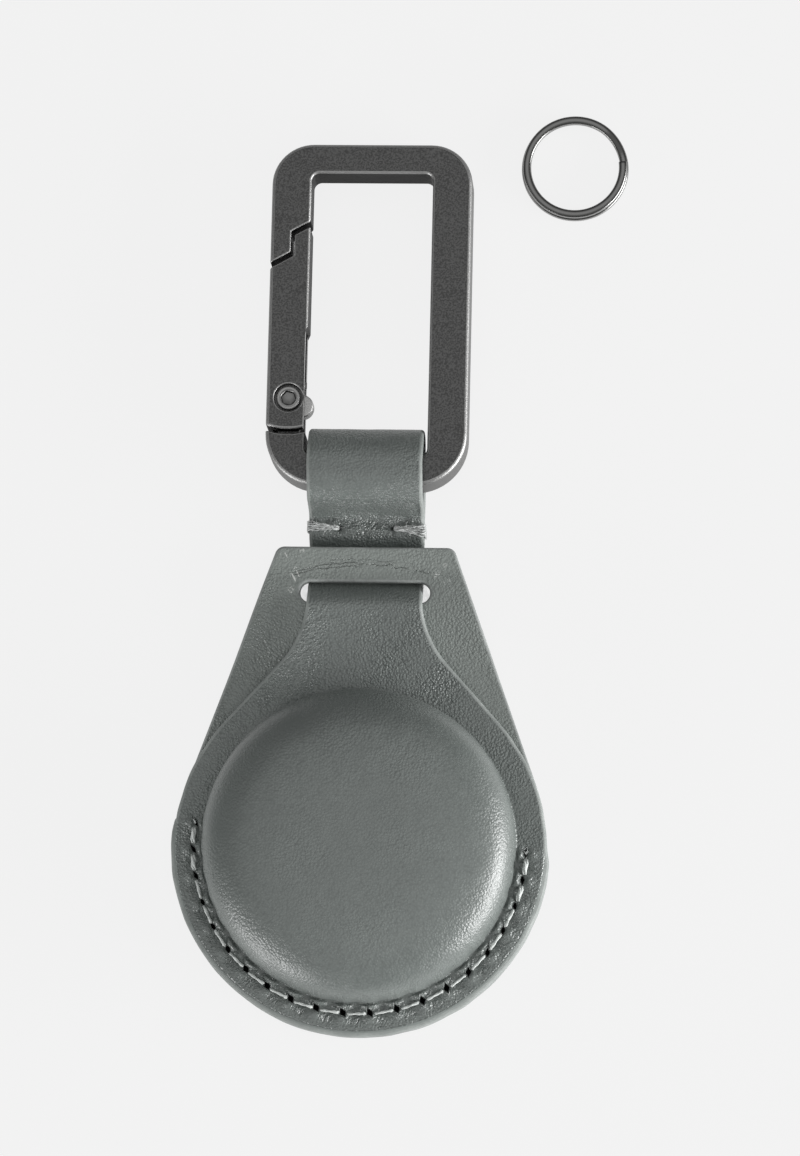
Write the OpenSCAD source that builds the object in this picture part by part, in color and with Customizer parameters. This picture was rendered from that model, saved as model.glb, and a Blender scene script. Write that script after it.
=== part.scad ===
/* [Tracker tag] */
// Diameter of the round tag that the pocket holds
tag_d = 31.9; // [28:0.1:36]
// Thickness of the tag
tag_t = 8; // [6:0.1:10]

/* [Leather] */
// Thickness of the front cover and its strap
front_t = 1.2; // [1:0.05:1.4]
// Thickness of each of the two plies of the back cover
ply_t = 0.75; // [0.6:0.05:0.9]
// Radius of the round body above the stitching
body_r = 20.9; // [20.5:0.1:23]
// How far the stitched edge stands out beyond that radius
edge_spread = 0.35; // [0.1:0.05:0.6]
// Length from the body's centre to the back cover's top edge
back_top_y = 33.9; // [33.5:0.1:34.2]
// Angle of the back cover's sides from its centre line
side_angle = 19.9; // [15:0.1:25]
// Corner radius of the back cover's top edge
back_corner_r = 1.1; // [0.5:0.1:2]
// Width of the strap and the neck
strap_w = 13; // [10:0.1:13.2]
// Angle of the shoulders that lead into the neck
neck_angle = 42; // [36:1:50]
// Fillet radius between shoulder and neck
neck_fillet_r = 11; // [8:0.5:12]

/* [Slot] */
// Length of the strap slot
slot_l = 14.7; // [14.3:0.1:16]
// Width of the strap slot
slot_w = 2.3; // [2:0.1:2.6]
// Distance from the body's centre to the slot's middle
slot_y = 28.75; // [28.5:0.05:29]

/* [Dome] */
// Outer radius of the moulded shoulder
shoulder_r = 5; // [3:0.1:6]
// Radius of the hollow where the dome meets its flange
toe_r = 0.6; // [0.3:0.05:0.9]

/* [Stitching] */
// Distance of the seam line from the body's edge
seam_inset = 2.3; // [1.8:0.05:2.3]
// How far the seam runs above the body's centre on each side, in degrees
seam_rise = 3; // [0:1:20]
// How far the whole seam is turned about the body's centre, clockwise, in degrees
seam_turn = 4.6; // [0:0.1:8]
// Number of stitches in the seam
stitches = 20; // [12:1:30]
// Thickness of the sewing thread
thread_d = 0.6; // [0.4:0.05:0.8]
// Gap between two stitches
stitch_gap = 0.55; // [0.3:0.05:0.8]
// Distance from the body's centre to the two tacks on the strap
tack_y = 36.1; // [36:0.05:36.2]
// Width of a tack along the strap
tack_w = 1.1; // [0.8:0.1:1.2]
// Length of a tack inwards from the strap's edge
tack_l = 3.4; // [2:0.1:4.5]
// Height of a tack over the leather
tack_h = 0.4; // [0.2:0.05:0.45]

/* [Carabiner] */
// Outer width
car_w = 22.8; // [22:0.1:26]
// Outer length
car_l = 39.8; // [38:0.1:46]
// Thickness
car_t = 4.5; // [4.4:0.1:5]
// Width of the two long bars
side_bar_w = 4.5; // [4.3:0.1:4.6]
// Width of the top and bottom bars
end_bar_w = 3.45; // [3.2:0.05:3.5]
// Outer corner radius at the top
top_corner_r = 4.7; // [3.6:0.1:6]
// Outer corner radius at the bottom
bottom_corner_r = 6; // [4:0.1:6.4]
// Corner radius inside the opening
inner_corner_r = 0.9; // [0.6:0.1:2]
// Radius of the rounded edges
edge_r = 0.4; // [0.2:0.05:0.45]

/* [Gate] */
// Distance of the pivot from the bottom bar's middle
pivot_v = 8.35; // [8.2:0.05:9]
// Distance of the pivot from the carabiner's outer side
pivot_inset = 2.5; // [2.3:0.05:2.6]
// Length of the gate below the pivot
gate_tail = 3.65; // [3.4:0.05:3.7]
// Radius of the gate's rounded lower end
gate_end_r = 8; // [6:0.5:12]
// Distance of the nose joint's lower corner from the bottom bar's middle
nose_v = 24.95; // [24:0.05:26]
// Length of the nose joint's straight step
nose_l = 2.4; // [1.5:0.1:3]
// Distance of that step from the carabiner's outer side
nose_u = 2.7; // [2.4:0.05:2.9]
// Slope of the nose joint's two slanted faces
nose_slant = 29; // [15:1:35]
// Visible gap round the gate
gate_gap = 0.55; // [0.4:0.05:0.6]
// Thickness of the gate's two cheeks
cheek_t = 1.25; // [1.1:0.05:1.3]
// Thickness of the gate's outer wall
web_t = 0.7; // [0.5:0.05:0.8]
// Distance of the channel's upper end from the bottom bar's middle
channel_v = 16.4; // [15:0.1:18]
// How far the cheeks are cut back beside the channel
relief_t = 0.3; // [0.1:0.05:0.4]

/* [Pivot and spring] */
// Diameter of the pivot screw's shank
screw_d = 1.6; // [1.4:0.05:1.65]
// Diameter of the screw head
head_d = 2.75; // [2.4:0.05:2.9]
// Height of the screw head
head_h = 0.6; // [0.4:0.05:0.65]
// Size of the hexagon socket across its flats
socket_af = 1.5; // [1.2:0.1:1.6]
// Width of the ring-shaped gap round the head
recess_gap = 0.26; // [0.15:0.01:0.3]
// Radius of the tang's eye round the screw
eye_r = 1.2; // [1.15:0.05:1.3]
// Radius of the tang's cam lobe
lobe_r = 1.46; // [1.3:0.02:1.5]
// Radius of the plunger's round nose
plunger_nose_r = 0.6; // [0.4:0.05:0.6]
// Thickness of the spring's wire
spring_wire_d = 0.28; // [0.2:0.02:0.3]
// Outer diameter of the spring
spring_d = 1.4; // [1.2:0.05:1.4]
// Pitch of the spring's curls
spring_pitch = 0.75; // [0.72:0.01:0.9]

/* [Key ring] */
// Outer diameter of the split ring
ring_d = 12.2; // [10:0.1:15]
// Width of the ring's flattened wire
ring_wire_w = 1.05; // [0.8:0.05:1.3]
// Height of the ring's flattened wire
ring_wire_h = 0.72; // [0.5:0.02:0.9]
// Place of the ring beside the carabiner, sideways
ring_x = 22.9; // [20:0.1:40]
// Place of the ring beside the carabiner, lengthways
ring_y = 78.3; // [60:0.1:80]

/* [Hidden] */
$fn = 72;

leather = [0.41, 0.43, 0.42];
leather_back = [0.46, 0.48, 0.46];
thread = [0.62, 0.64, 0.63];
gunmetal = [0.30, 0.30, 0.30];
steel = [0.55, 0.55, 0.54];

// Small clearances: between glued plies, round the tag, round sewn or sliding pieces
glue_gap = 0.02;
tag_gap = 0.1;
fit_gap = 0.05;
turn_gap = 0.1;
cut_over = 1;

// Heights of the flat leather stack, from the back up
back_t = 2 * ply_t;
flange_z = back_t + glue_gap;
flange_top = flange_z + front_t;

// The back cover climbs over the strap that passes behind its top bar
strap_lift = front_t + 4 * fit_gap;
dome_r = tag_d / 2 + tag_gap + front_t;
seam_r = body_r - seam_inset;
ramp_y0 = dome_r + toe_r;
slot_y0 = slot_y - slot_w / 2;
slot_y1 = slot_y + slot_w / 2;

// The strap's loop round the carabiner's bottom bar
bar_reach = sqrt(pow(end_bar_w / 2, 2) + pow(car_t / 2, 2));
loop_gap = 0.16;
loop_r = bar_reach - edge_r * (sqrt(2) - 1) + loop_gap + front_t / 2;
loop_slack = 1.1;
loop_drop_angle = 75;
loop_foot_r = 1.6;
tack_margin = 0.5;
bar_z = loop_r + front_t / 2;
upper_layer_z = 1.5 * front_t + fit_gap;
loop_fall = bar_z + loop_r * cos(loop_drop_angle) - upper_layer_z - loop_foot_r * (1 - cos(loop_drop_angle));
bar_y = tack_y + tack_margin + (loop_r + loop_foot_r) * sin(loop_drop_angle)
    + loop_fall / tan(loop_drop_angle);
tack_inset = 1.4;
free_end_y = tack_y - tack_inset;
path_steps = 10;

function ease(x, x0, x1) = let(s = max(0, min(1, (x - x0) / (x1 - x0)))) s * s * (3 - 2 * s);
function lift(y) = strap_lift * ease(y, ramp_y0, slot_y1);
function spread(x0, x1, n = path_steps) = [for (i = [0 : n]) x0 + (x1 - x0) * i / n];
function arc(centre, r, a0, a1, n = path_steps) =
    [for (a = spread(a0, a1, n)) centre + r * [cos(a), sin(a)]];

// Middle line of the front cover's leather in the Y-Z plane, from the neck to the strap's free end
dive_y0 = slot_y0 - 2 * front_t / 5;
dive_y1 = slot_y1 + front_t / 2;
climb_y1 = tack_y - tack_w / 5;
behind_z = front_t / 2 + fit_gap;
function neck_z(y) = lift(y) + flange_z + front_t / 2;
neck_path = concat(
    [[-2 * body_r, neck_z(0)]],
    [for (y = spread(ramp_y0, dive_y0)) [y, neck_z(y)]]);
slot_path = [for (y = spread(dive_y0, dive_y1, 2 * path_steps))
    if (y > dive_y0) [y, behind_z + (neck_z(dive_y0) - behind_z) * (1 - ease(y, dive_y0, dive_y1))]];
climb_path = [for (y = spread(back_top_y, climb_y1))
    [y, behind_z + (upper_layer_z - behind_z) * ease(y, back_top_y, climb_y1)]];
loop_path = concat(
    arc([tack_y + tack_margin, upper_layer_z + loop_foot_r], loop_foot_r, -90, loop_drop_angle - 90),
    arc([bar_y, bar_z], loop_r, 90 + loop_drop_angle, 90),
    arc([bar_y + loop_slack, bar_z], loop_r, 90, -90, 2 * path_steps),
    [[bar_y, bar_z - loop_r]]);
strap_path = concat(slot_path, climb_path, loop_path);
front_path = concat(neck_path, strap_path);

function unit(v) = v / norm(v);
function heading(path, i) = unit(path[min(i + 1, len(path) - 1)] - path[max(i - 1, 0)]);
function beside(path, off) = [for (i = [0 : len(path) - 1])
    let(h = heading(path, i)) path[i] + off * [-h[1], h[0]]];
function backwards(list) = [for (i = [len(list) - 1 : -1 : 0]) list[i]];

// A strip of leather of thickness t along a path in the Y-Z plane, w wide along X
module strip(path, t, w) {
    rotate([90, 0, 90])
        linear_extrude(w, center = true)
            polygon(concat(beside(path, -t / 2), backwards(beside(path, t / 2))));
}

// The body's round outline, wider where the seam presses its edge outwards
module round_outline() {
    circle(body_r);
    intersection() {
        circle(body_r + edge_spread);
        rotate([0, 0, -seam_turn])
            translate([-2 * body_r, -4 * body_r + seam_r * sin(seam_rise)])
                square(4 * body_r);
    }
}

module keyhole_outline() {
    shoulder = body_r * [cos(neck_angle), sin(neck_angle)];
    fillet_u = strap_w / 2 + neck_fillet_r;
    run = (shoulder[0] - fillet_u + neck_fillet_r * cos(neck_angle)) / sin(neck_angle);
    fillet_y = shoulder[1] + run * cos(neck_angle) + neck_fillet_r * sin(neck_angle);
    side = concat([[shoulder[0], 0], shoulder],
        arc([fillet_u, fillet_y], neck_fillet_r, 180 + neck_angle, 180),
        [[strap_w / 2, bar_y + car_l]]);
    round_outline();
    polygon(concat(side, [for (p = backwards(side)) [-p[0], p[1]]]));
}

// A dome's solid of revolution: r at its wall, top its height, sr its shoulder's radius
module dome_solid(r, top, sr, low) {
    rotate_extrude() {
        translate([0, low]) square([r, top - sr - low]);
        translate([0, low]) square([r - sr, top - low]);
        translate([r - sr, top - sr]) intersection() {
            circle(sr);
            square(sr);
        }
    }
}

// The stitch holes for the two tacks, and the grooves that their threads press into the back
module tack_holes() {
    for (s = [-1, 1])
        translate([s * (strap_w / 2 - tack_l), tack_y, 0])
            cube([thread_d + 2 * fit_gap, tack_w + 2 * fit_gap, 6 * front_t], center = true);
}

module tack_grooves() {
    difference() {
        translate([0, tack_y, 0])
            cube([2 * strap_w, tack_w + 2 * fit_gap, 2 * (tack_h + fit_gap)], center = true);
        cube([2 * (strap_w / 2 - tack_l) - thread_d, 4 * body_r, 4 * front_t], center = true);
    }
}

// The strap's free end, thinned to lie under the climbing strap where the tacks hold it
module skived_end() {
    difference() {
        translate([-strap_w / 2, free_end_y, 0]) cube([strap_w, bar_y + loop_slack / 2 - free_end_y, front_t]);
        strip(concat(climb_path, [[tack_y + tack_margin, upper_layer_z]]), front_t + 2 * glue_gap, 2 * strap_w);
    }
}

module front_cover() color(leather) {
    pocket_r = tag_d / 2 + tag_gap;
    pocket_top = flange_z + tag_t + 2 * tag_gap;
    difference() {
        union() {
            intersection() {
                strip(front_path, front_t, 4 * body_r);
                translate([0, 0, -cut_over]) linear_extrude(pocket_top + cut_over) keyhole_outline();
            }
            skived_end();
            dome_solid(dome_r, pocket_top + front_t, shoulder_r, flange_z);
            rotate_extrude() difference() {
                translate([dome_r - toe_r, flange_z]) square([2 * toe_r, front_t + toe_r]);
                translate([dome_r + toe_r, flange_top + toe_r]) circle(toe_r);
            }
        }
        dome_solid(pocket_r, pocket_top, shoulder_r - front_t, -cut_over);
        tack_holes();
        tack_grooves();
    }
}

module back_outline() {
    side = body_r * [cos(side_angle), sin(side_angle)];
    top_u = (body_r - back_top_y * sin(side_angle)) / cos(side_angle);
    corner_u = (body_r - back_corner_r - (back_top_y - back_corner_r) * sin(side_angle)) / cos(side_angle);
    corner = [corner_u, back_top_y - back_corner_r];
    edge = corner + back_corner_r * [cos(side_angle), sin(side_angle)];
    round_outline();
    polygon([[-side[0], side[1]], [0, 0], side, edge, [corner_u, back_top_y],
        [-corner_u, back_top_y], [-edge[0], edge[1]]]);
    for (s = [-1, 1])
        translate([s * corner[0], corner[1]]) circle(back_corner_r);
}

module slot_outline() {
    square([slot_l - slot_w, slot_w], center = true);
    for (s = [-1, 1])
        translate([s * (slot_l - slot_w) / 2, 0]) circle(d = slot_w);
}

// One ply of the back cover, from height z0 to z1 over the lifted ground
module back_ply(z0, z1) {
    ys = concat([-2 * body_r], spread(ramp_y0, slot_y1, 2 * path_steps), [2 * body_r]);
    difference() {
        intersection() {
            rotate([90, 0, 90])
                linear_extrude(4 * body_r, center = true)
                    polygon(concat([for (y = ys) [y, z0 + lift(y)]],
                        [for (y = backwards(ys)) [y, z1 + lift(y)]]));
            translate([0, 0, -cut_over]) linear_extrude(2 * cut_over + strap_lift + back_t) back_outline();
        }
        translate([0, slot_y, -cut_over])
            linear_extrude(2 * cut_over + strap_lift + back_t) slot_outline();
        strip(slot_path, front_t + 2 * fit_gap, strap_w + 2 * fit_gap);
    }
}

module back_cover_inner() color(leather_back) back_ply(ply_t + glue_gap / 2, back_t);

module back_cover_outer() color(leather) {
    difference() {
        back_ply(0, ply_t - glue_gap / 2);
        seam_arc(0, 180 + 2 * seam_rise)
            square([thread_d + 2 * fit_gap, thread_d + 2 * fit_gap], center = true);
    }
}

// Turns a profile along the seam, from the angle start past its left end
module seam_arc(start, angle) {
    rotate([0, 0, 180 - seam_rise - seam_turn + start])
        rotate_extrude(angle = angle)
            translate([seam_r, 0]) children();
}

// One row of stitches along the seam, with its flat side at height z
module stitch_row(z, up) {
    pitch = (180 + 2 * seam_rise) / stitches;
    gap_angle = stitch_gap / seam_r * 180 / PI;
    translate([0, 0, z])
        for (i = [0 : stitches - 1])
            seam_arc(i * pitch + gap_angle / 2, pitch - gap_angle)
                intersection() {
                    circle(d = thread_d);
                    translate([-thread_d, up > 0 ? 0 : -thread_d]) square([2 * thread_d, thread_d]);
                }
}

module seam_thread_front() color(thread) stitch_row(flange_top, 1);

module seam_thread_back() color(thread) stitch_row(thread_d / 2, -1);

// A tack: a thread that wraps round the strap's edge and through its stitch hole
module loop_tack() {
    inner_u = strap_w / 2 - tack_l;
    stack_top = 2 * front_t + 2 * fit_gap;
    translate([0, tack_y + tack_w / 2, 0])
        rotate([90, 0, 0])
            linear_extrude(tack_w) difference() {
                translate([inner_u - thread_d / 2, fit_gap])
                    square([tack_l + thread_d / 2 + tack_h / 2, stack_top + tack_h - fit_gap]);
                translate([inner_u + thread_d / 2, tack_h])
                    square([tack_l - thread_d / 2 + glue_gap, stack_top - tack_h]);
            }
}

module loop_tack_left() color(thread) mirror([1, 0, 0]) loop_tack();

module loop_tack_right() color(thread) loop_tack();

// The carabiner lies tilted, its far end down on the ground; its own frame has u across,
// v along from the bottom bar's middle and w out of its front face
far_v = car_l - end_bar_w / 2;
near_v = -end_bar_w / 2;
car_tilt = asin((bar_z - car_t / 2) / (far_v - edge_r));
pivot_u = -car_w / 2 + pivot_inset;
opening_w = car_w - 2 * side_bar_w;
opening_l = car_l - 2 * end_bar_w;

module on_carabiner() {
    translate([0, bar_y, bar_z]) rotate([-car_tilt, 0, 0]) children();
}

// A bar's section with rounded edges
module bar_section(w) {
    square([w - 2 * edge_r, car_t], center = true);
    square([w, car_t - 2 * edge_r], center = true);
    for (i = [-1, 1], j = [-1, 1])
        translate([i * (w / 2 - edge_r), j * (car_t / 2 - edge_r)]) circle(edge_r);
}

module half_section(w) {
    intersection() {
        bar_section(2 * w);
        translate([0, -car_t]) square([w, 2 * car_t]);
    }
}

// One end of the outer block: two round corners and the straight edge between them
module block_end(r) {
    for (s = [-1, 1])
        translate([s * (car_w / 2 - r), 0, 0])
            rotate([0, 0, s > 0 ? 0 : 90]) rotate_extrude(angle = 90) half_section(r);
    rotate([90, 0, 90])
        linear_extrude(car_w - 2 * r, center = true) half_section(r);
}

module outer_block() {
    translate([0, far_v - top_corner_r, 0]) block_end(top_corner_r);
    translate([0, near_v + bottom_corner_r, 0]) mirror([0, 1, 0]) block_end(bottom_corner_r);
    translate([0, far_v - top_corner_r, 0])
        rotate([90, 0, 0])
            linear_extrude(car_l - top_corner_r - bottom_corner_r) bar_section(car_w);
}

// What rounding takes off the opening's edge, in section, at the front face
module edge_flare() {
    translate([0, car_t / 2 - edge_r]) difference() {
        square([edge_r, edge_r + cut_over]);
        translate([edge_r, 0]) circle(edge_r);
    }
}

module opening_cut() {
    half_u = opening_w / 2 - inner_corner_r;
    half_v = opening_l / 2 - inner_corner_r;
    linear_extrude(2 * car_t, center = true) {
        square([opening_w, 2 * half_v], center = true);
        square([2 * half_u, opening_l], center = true);
        for (i = [-1, 1], j = [-1, 1])
            translate([i * half_u, j * half_v]) circle(inner_corner_r);
    }
    for (face = [0, 1], turn = [0 : 3]) {
        reach = turn % 2 == 0 ? [half_u, half_v] : [half_v, half_u];
        mirror([0, 0, face]) rotate([0, 0, 90 * turn]) {
            translate([reach[0] + inner_corner_r, reach[1], 0])
                rotate([90, 0, 0]) linear_extrude(2 * reach[1]) edge_flare();
            translate([reach[0], reach[1], 0])
                rotate_extrude(angle = 90) translate([inner_corner_r, 0]) edge_flare();
        }
    }
}

module carabiner_blank() {
    difference() {
        outer_block();
        translate([0, (far_v + near_v) / 2, 0]) opening_cut();
    }
}

// The gate's stretch of the left bar, grown by the gap g on every side that faces the frame
module gate_region(g) {
    nose_pu = -car_w / 2 + nose_u - g;
    left_u = -car_w / 2 - cut_over;
    right_u = -opening_w / 2 + cut_over;
    low_v = nose_v + g / cos(nose_slant) - g * tan(nose_slant);
    end_r = gate_end_r + g;
    polygon(concat(
        arc([pivot_u, pivot_v - gate_tail + gate_end_r], end_r,
            270 + asin((left_u - pivot_u) / end_r), 270 + asin((right_u - pivot_u) / end_r)),
        [[right_u, low_v + nose_l + (right_u - nose_pu) * tan(nose_slant)], [nose_pu, low_v + nose_l],
            [nose_pu, low_v], [left_u, low_v - (nose_pu - left_u) * tan(nose_slant)]]));
}

tang_t = car_t - 2 * cheek_t - 2 * turn_gap;
bore_d = screw_d + 2 * fit_gap;
lobe_place_shares = [0.966, -0.438];
lobe_place = lobe_r * lobe_place_shares;

// The tang that stands up between the gate's cheeks, with its cam lobe on the inner side
module tang() {
    linear_extrude(tang_t, center = true) {
        translate([pivot_u, pivot_v]) {
            circle(eye_r);
            translate(lobe_place) circle(lobe_r);
            translate([-eye_r, -gate_tail - gate_gap - edge_r])
                square([2 * eye_r + edge_r, gate_tail + gate_gap + edge_r]);
        }
    }
}

module carabiner_frame() color(gunmetal) on_carabiner() difference() {
    union() {
        difference() {
            carabiner_blank();
            linear_extrude(2 * car_t, center = true) gate_region(gate_gap);
        }
        tang();
    }
    translate([pivot_u, pivot_v, 0]) cylinder(d = bore_d, h = 2 * car_t, center = true);
}

module gate() color(gunmetal) on_carabiner() difference() {
    intersection() {
        carabiner_blank();
        linear_extrude(2 * car_t, center = true) gate_region(0);
    }
    channel_u = -car_w / 2 + web_t;
    channel_h = car_t - 2 * cheek_t;
    translate([channel_u, pivot_v - 2 * gate_tail, -channel_h / 2])
        cube([side_bar_w, channel_v - pivot_v + 2 * gate_tail, channel_h]);
    linear_extrude(2 * car_t, center = true)
        translate([-opening_w / 2, 0])
            polygon([[0, pivot_v - 2 * gate_tail], [-relief_t, pivot_v - 2 * gate_tail],
                [-relief_t, channel_v - relief_t], [0, channel_v + relief_t],
                [cut_over, channel_v + relief_t], [cut_over, pivot_v - 2 * gate_tail]]);
    translate([pivot_u, pivot_v, 0]) {
        cylinder(d = bore_d, h = 2 * car_t);
        translate([0, 0, -2 * car_t]) cylinder(d = screw_d + 2 * glue_gap, h = 2 * car_t);
        translate([0, 0, car_t / 2 - head_h - 2 * fit_gap])
            cylinder(d = head_d + 2 * recess_gap, h = cut_over + head_h);
    }
}

module pivot_screw() color(steel) on_carabiner() translate([pivot_u, pivot_v, 0]) {
    head_z = car_t / 2 - head_h - fit_gap;
    rim_r = head_h / 4;
    difference() {
        union() {
            translate([0, 0, fit_gap - car_t / 2]) cylinder(d = screw_d, h = car_t / 2 + head_z);
            translate([0, 0, head_z]) rotate_extrude() {
                square([head_d / 2 - rim_r, head_h]);
                square([head_d / 2, head_h - rim_r]);
                translate([head_d / 2 - rim_r, head_h - rim_r]) circle(rim_r);
            }
        }
        translate([0, 0, head_z - rim_r])
            cylinder(d = socket_af / cos(30), h = 2 * head_h, $fn = 6);
    }
}

// The plunger slides in the gate's channel and rests on the tang
plunger_u = eye_r * 5 / 6;
plunger_r = car_t / 2 - cheek_t - turn_gap;
collar_h = 0.7;
guide_l = 1.2;
plunger_v = pivot_v + fit_gap
    + max(sqrt(pow(plunger_nose_r + eye_r, 2) - pow(plunger_u, 2)),
        lobe_place[1] + sqrt(pow(plunger_nose_r + lobe_r, 2) - pow(plunger_u - lobe_place[0], 2)));

module gate_plunger() color(steel) on_carabiner() translate([pivot_u + plunger_u, plunger_v, 0]) {
    sphere(plunger_nose_r);
    rotate([-90, 0, 0]) {
        cylinder(r = plunger_r, h = collar_h);
        cylinder(r = spring_d / 2 - spring_wire_d - fit_gap, h = collar_h + guide_l);
    }
}

// A wire wound round Z: at each step its angle and height, and its section's points
function wound_points(r, steps, section) = [for (s = steps, p = section)
    [(r + p[0]) * cos(s[0]), (r + p[0]) * sin(s[0]), s[1] + p[1]]];
function wound_faces(rings, n) = concat(
    [for (i = [0 : rings - 2], j = [0 : n - 1]) [i * n + j, i * n + (j + 1) % n, (i + 1) * n + j]],
    [for (i = [0 : rings - 2], j = [0 : n - 1]) [i * n + (j + 1) % n, (i + 1) * n + (j + 1) % n, (i + 1) * n + j]],
    [for (j = [1 : n - 2]) [0, j + 1, j]],
    [for (j = [1 : n - 2]) let(o = (rings - 1) * n) [o, o + j, o + j + 1]]);

module wound_wire(r, steps, section) {
    polyhedron(wound_points(r, steps, section), wound_faces(len(steps), len(section)), convexity = 10);
}

spring_v0 = plunger_v + collar_h + fit_gap;
spring_l = channel_v - fit_gap - spring_v0 - spring_wire_d;
spring_turns = floor(2 * spring_l / spring_pitch) / 2;
curl_rings = 8;
wire_sides = 6;
spring_steps = [for (i = [0 : spring_turns * curl_rings])
    [i * 360 / curl_rings, spring_l * i / (spring_turns * curl_rings)]];
spring_line = wound_points(spring_d / 2 - spring_wire_d / 2, spring_steps, [[0, 0]]);
echo(spring_gap = min([for (i = [curl_rings : len(spring_line) - 1], j = [0 : i - curl_rings])
    norm(spring_line[i] - spring_line[j]) - spring_wire_d]));

module gate_spring() color(steel) on_carabiner() translate([pivot_u + plunger_u, spring_v0, 0]) {
    wire_r = spring_wire_d / 2;
    rotate([-90, 0, 0]) translate([0, 0, wire_r])
        wound_wire(spring_d / 2 - wire_r, spring_steps,
            [for (i = [1 : wire_sides]) wire_r * [cos(i * 360 / wire_sides), sin(i * 360 / wire_sides)]]);
}

// The split ring: two turns of flat wire that cross over between its two ends
ring_start = 58;
ring_lap = 310;
ring_steps = 36;
ring_rise = ring_wire_h + fit_gap;

module key_ring() color(steel) translate([ring_x, ring_y, ring_wire_h / 2]) {
    c = ring_wire_h / 4;
    w = ring_wire_w / 2;
    h = ring_wire_h / 2;
    turns = concat(spread(0, ring_lap, ring_steps),
        [for (a = spread(ring_lap, 360)) if (a > ring_lap) a],
        [for (a = spread(360, 360 + ring_lap, ring_steps)) if (a > 360) a]);
    wound_wire(ring_d / 2 - w,
        [for (a = turns) [ring_start + a, ring_rise * ease(a, ring_lap, 360)]],
        [[w, h - c], [w - c, h], [c - w, h], [-w, h - c], [-w, c - h], [c - w, -h], [w - c, -h], [w, c - h]]);
}

front_cover();
back_cover_inner();
back_cover_outer();
seam_thread_front();
seam_thread_back();
loop_tack_left();
loop_tack_right();
carabiner_frame();
gate();
pivot_screw();
gate_plunger();
gate_spring();
key_ring();
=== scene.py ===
import math

import bmesh
import bpy
from mathutils import Matrix, Vector, noise


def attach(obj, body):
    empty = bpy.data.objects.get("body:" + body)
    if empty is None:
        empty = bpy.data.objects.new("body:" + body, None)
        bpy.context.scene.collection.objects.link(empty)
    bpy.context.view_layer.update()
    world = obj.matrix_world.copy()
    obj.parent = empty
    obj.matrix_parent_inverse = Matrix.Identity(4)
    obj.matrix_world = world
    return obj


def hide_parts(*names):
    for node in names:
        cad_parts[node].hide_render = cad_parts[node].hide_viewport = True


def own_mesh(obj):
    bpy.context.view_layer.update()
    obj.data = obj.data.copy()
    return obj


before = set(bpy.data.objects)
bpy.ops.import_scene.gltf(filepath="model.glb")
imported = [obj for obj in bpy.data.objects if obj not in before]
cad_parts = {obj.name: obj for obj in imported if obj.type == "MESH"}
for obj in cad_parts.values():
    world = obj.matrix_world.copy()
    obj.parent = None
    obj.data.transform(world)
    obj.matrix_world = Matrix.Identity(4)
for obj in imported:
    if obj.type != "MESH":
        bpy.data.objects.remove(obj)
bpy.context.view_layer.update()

# Front cover: one piece of 1.2 mm calf leather, wet-moulded over the round tag and cut with a long
# strap. The strap goes down through the back cover's slot, up behind it, round the carabiner's bar
# and back under itself, where two tacks hold it. Worked in millimetres and put to metres at the end.
front_t = 1.2
body_r, edge_spread = 20.9, 0.35
rim_wave, rim_inset = 0.07, 0.03
stack_z, crown_z = 2.12, 10.32
dome_r, wall_z, dome_power = 16.9, 4.4, 3.1
toe_r = 0.8
toe_z = stack_z + toe_r
toe_end_r = dome_r + toe_r
strap_w, strap_lift = 13.0, 1.4
ramp_y, slot_end_y = 17.85, 29.9
neck_fillet_r, neck_end_y = 11.0, 26.0
neck_turn = math.radians(42)
edge_round, low_round = 0.36, 0.25

# The mesh has a column, or station, at each of these places round the body, from the seam's left end
stitches, per_stitch = 20, 18
seam_start, seam_sweep = math.radians(172.4), math.radians(186)
seam_r, hole_r = 18.7, 18.62
seam_stations = stitches * per_stitch
shoulder_stations, neck_stations, strap_columns = 64, 56, 48
stations = seam_stations + 2 * (shoulder_stations + neck_stations) + strap_columns
neck_from = seam_stations + shoulder_stations
bearing_marks = [
    (0, seam_start), (seam_stations, seam_start + seam_sweep), (neck_from, 2 * math.pi + neck_turn),
    (stations - shoulder_stations, 3 * math.pi - neck_turn), (stations, 2 * math.pi + seam_start)]


def ease(x, x0, x1):
    s = min(1.0, max(0.0, (x - x0) / (x1 - x0)))
    return s * s * (3 - 2 * s)


def polar(r, turn, *z):
    return Vector((r * math.cos(turn), r * math.sin(turn), *z))


def climb(y):
    """How far the back cover has risen at y, to pass over the strap behind its top bar."""
    return strap_lift * ease(y, ramp_y, slot_end_y)


def bearing(k):
    """The angle of station k, counted round the body from the seam's left end."""
    k %= stations
    for (k0, turn0), (k1, turn1) in zip(bearing_marks, bearing_marks[1:]):
        if k <= k1:
            return turn0 + (turn1 - turn0) * (k - k0) / (k1 - k0)


def rim_point(k):
    """The body's edge: a little wider, and slightly wavy, where the seam squeezes it out."""
    turn = bearing(k)
    past = min(k % stations, seam_stations - k % stations) / per_stitch
    wave = rim_wave * noise.noise((9 * math.cos(turn), 9 * math.sin(turn), 4.0))
    return polar(body_r + edge_spread * ease(past, -0.4, 0.5) + wave - rim_inset, turn)


neck_start = polar(body_r, neck_turn)
fillet_x = strap_w / 2 + neck_fillet_r
neck_run = (neck_start.x - fillet_x + neck_fillet_r * math.cos(neck_turn)) / math.sin(neck_turn)
fillet_y = neck_start.y + neck_run * math.cos(neck_turn) + neck_fillet_r * math.sin(neck_turn)
neck_end_turn = math.asin((fillet_y - neck_end_y) / neck_fillet_r)


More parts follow.
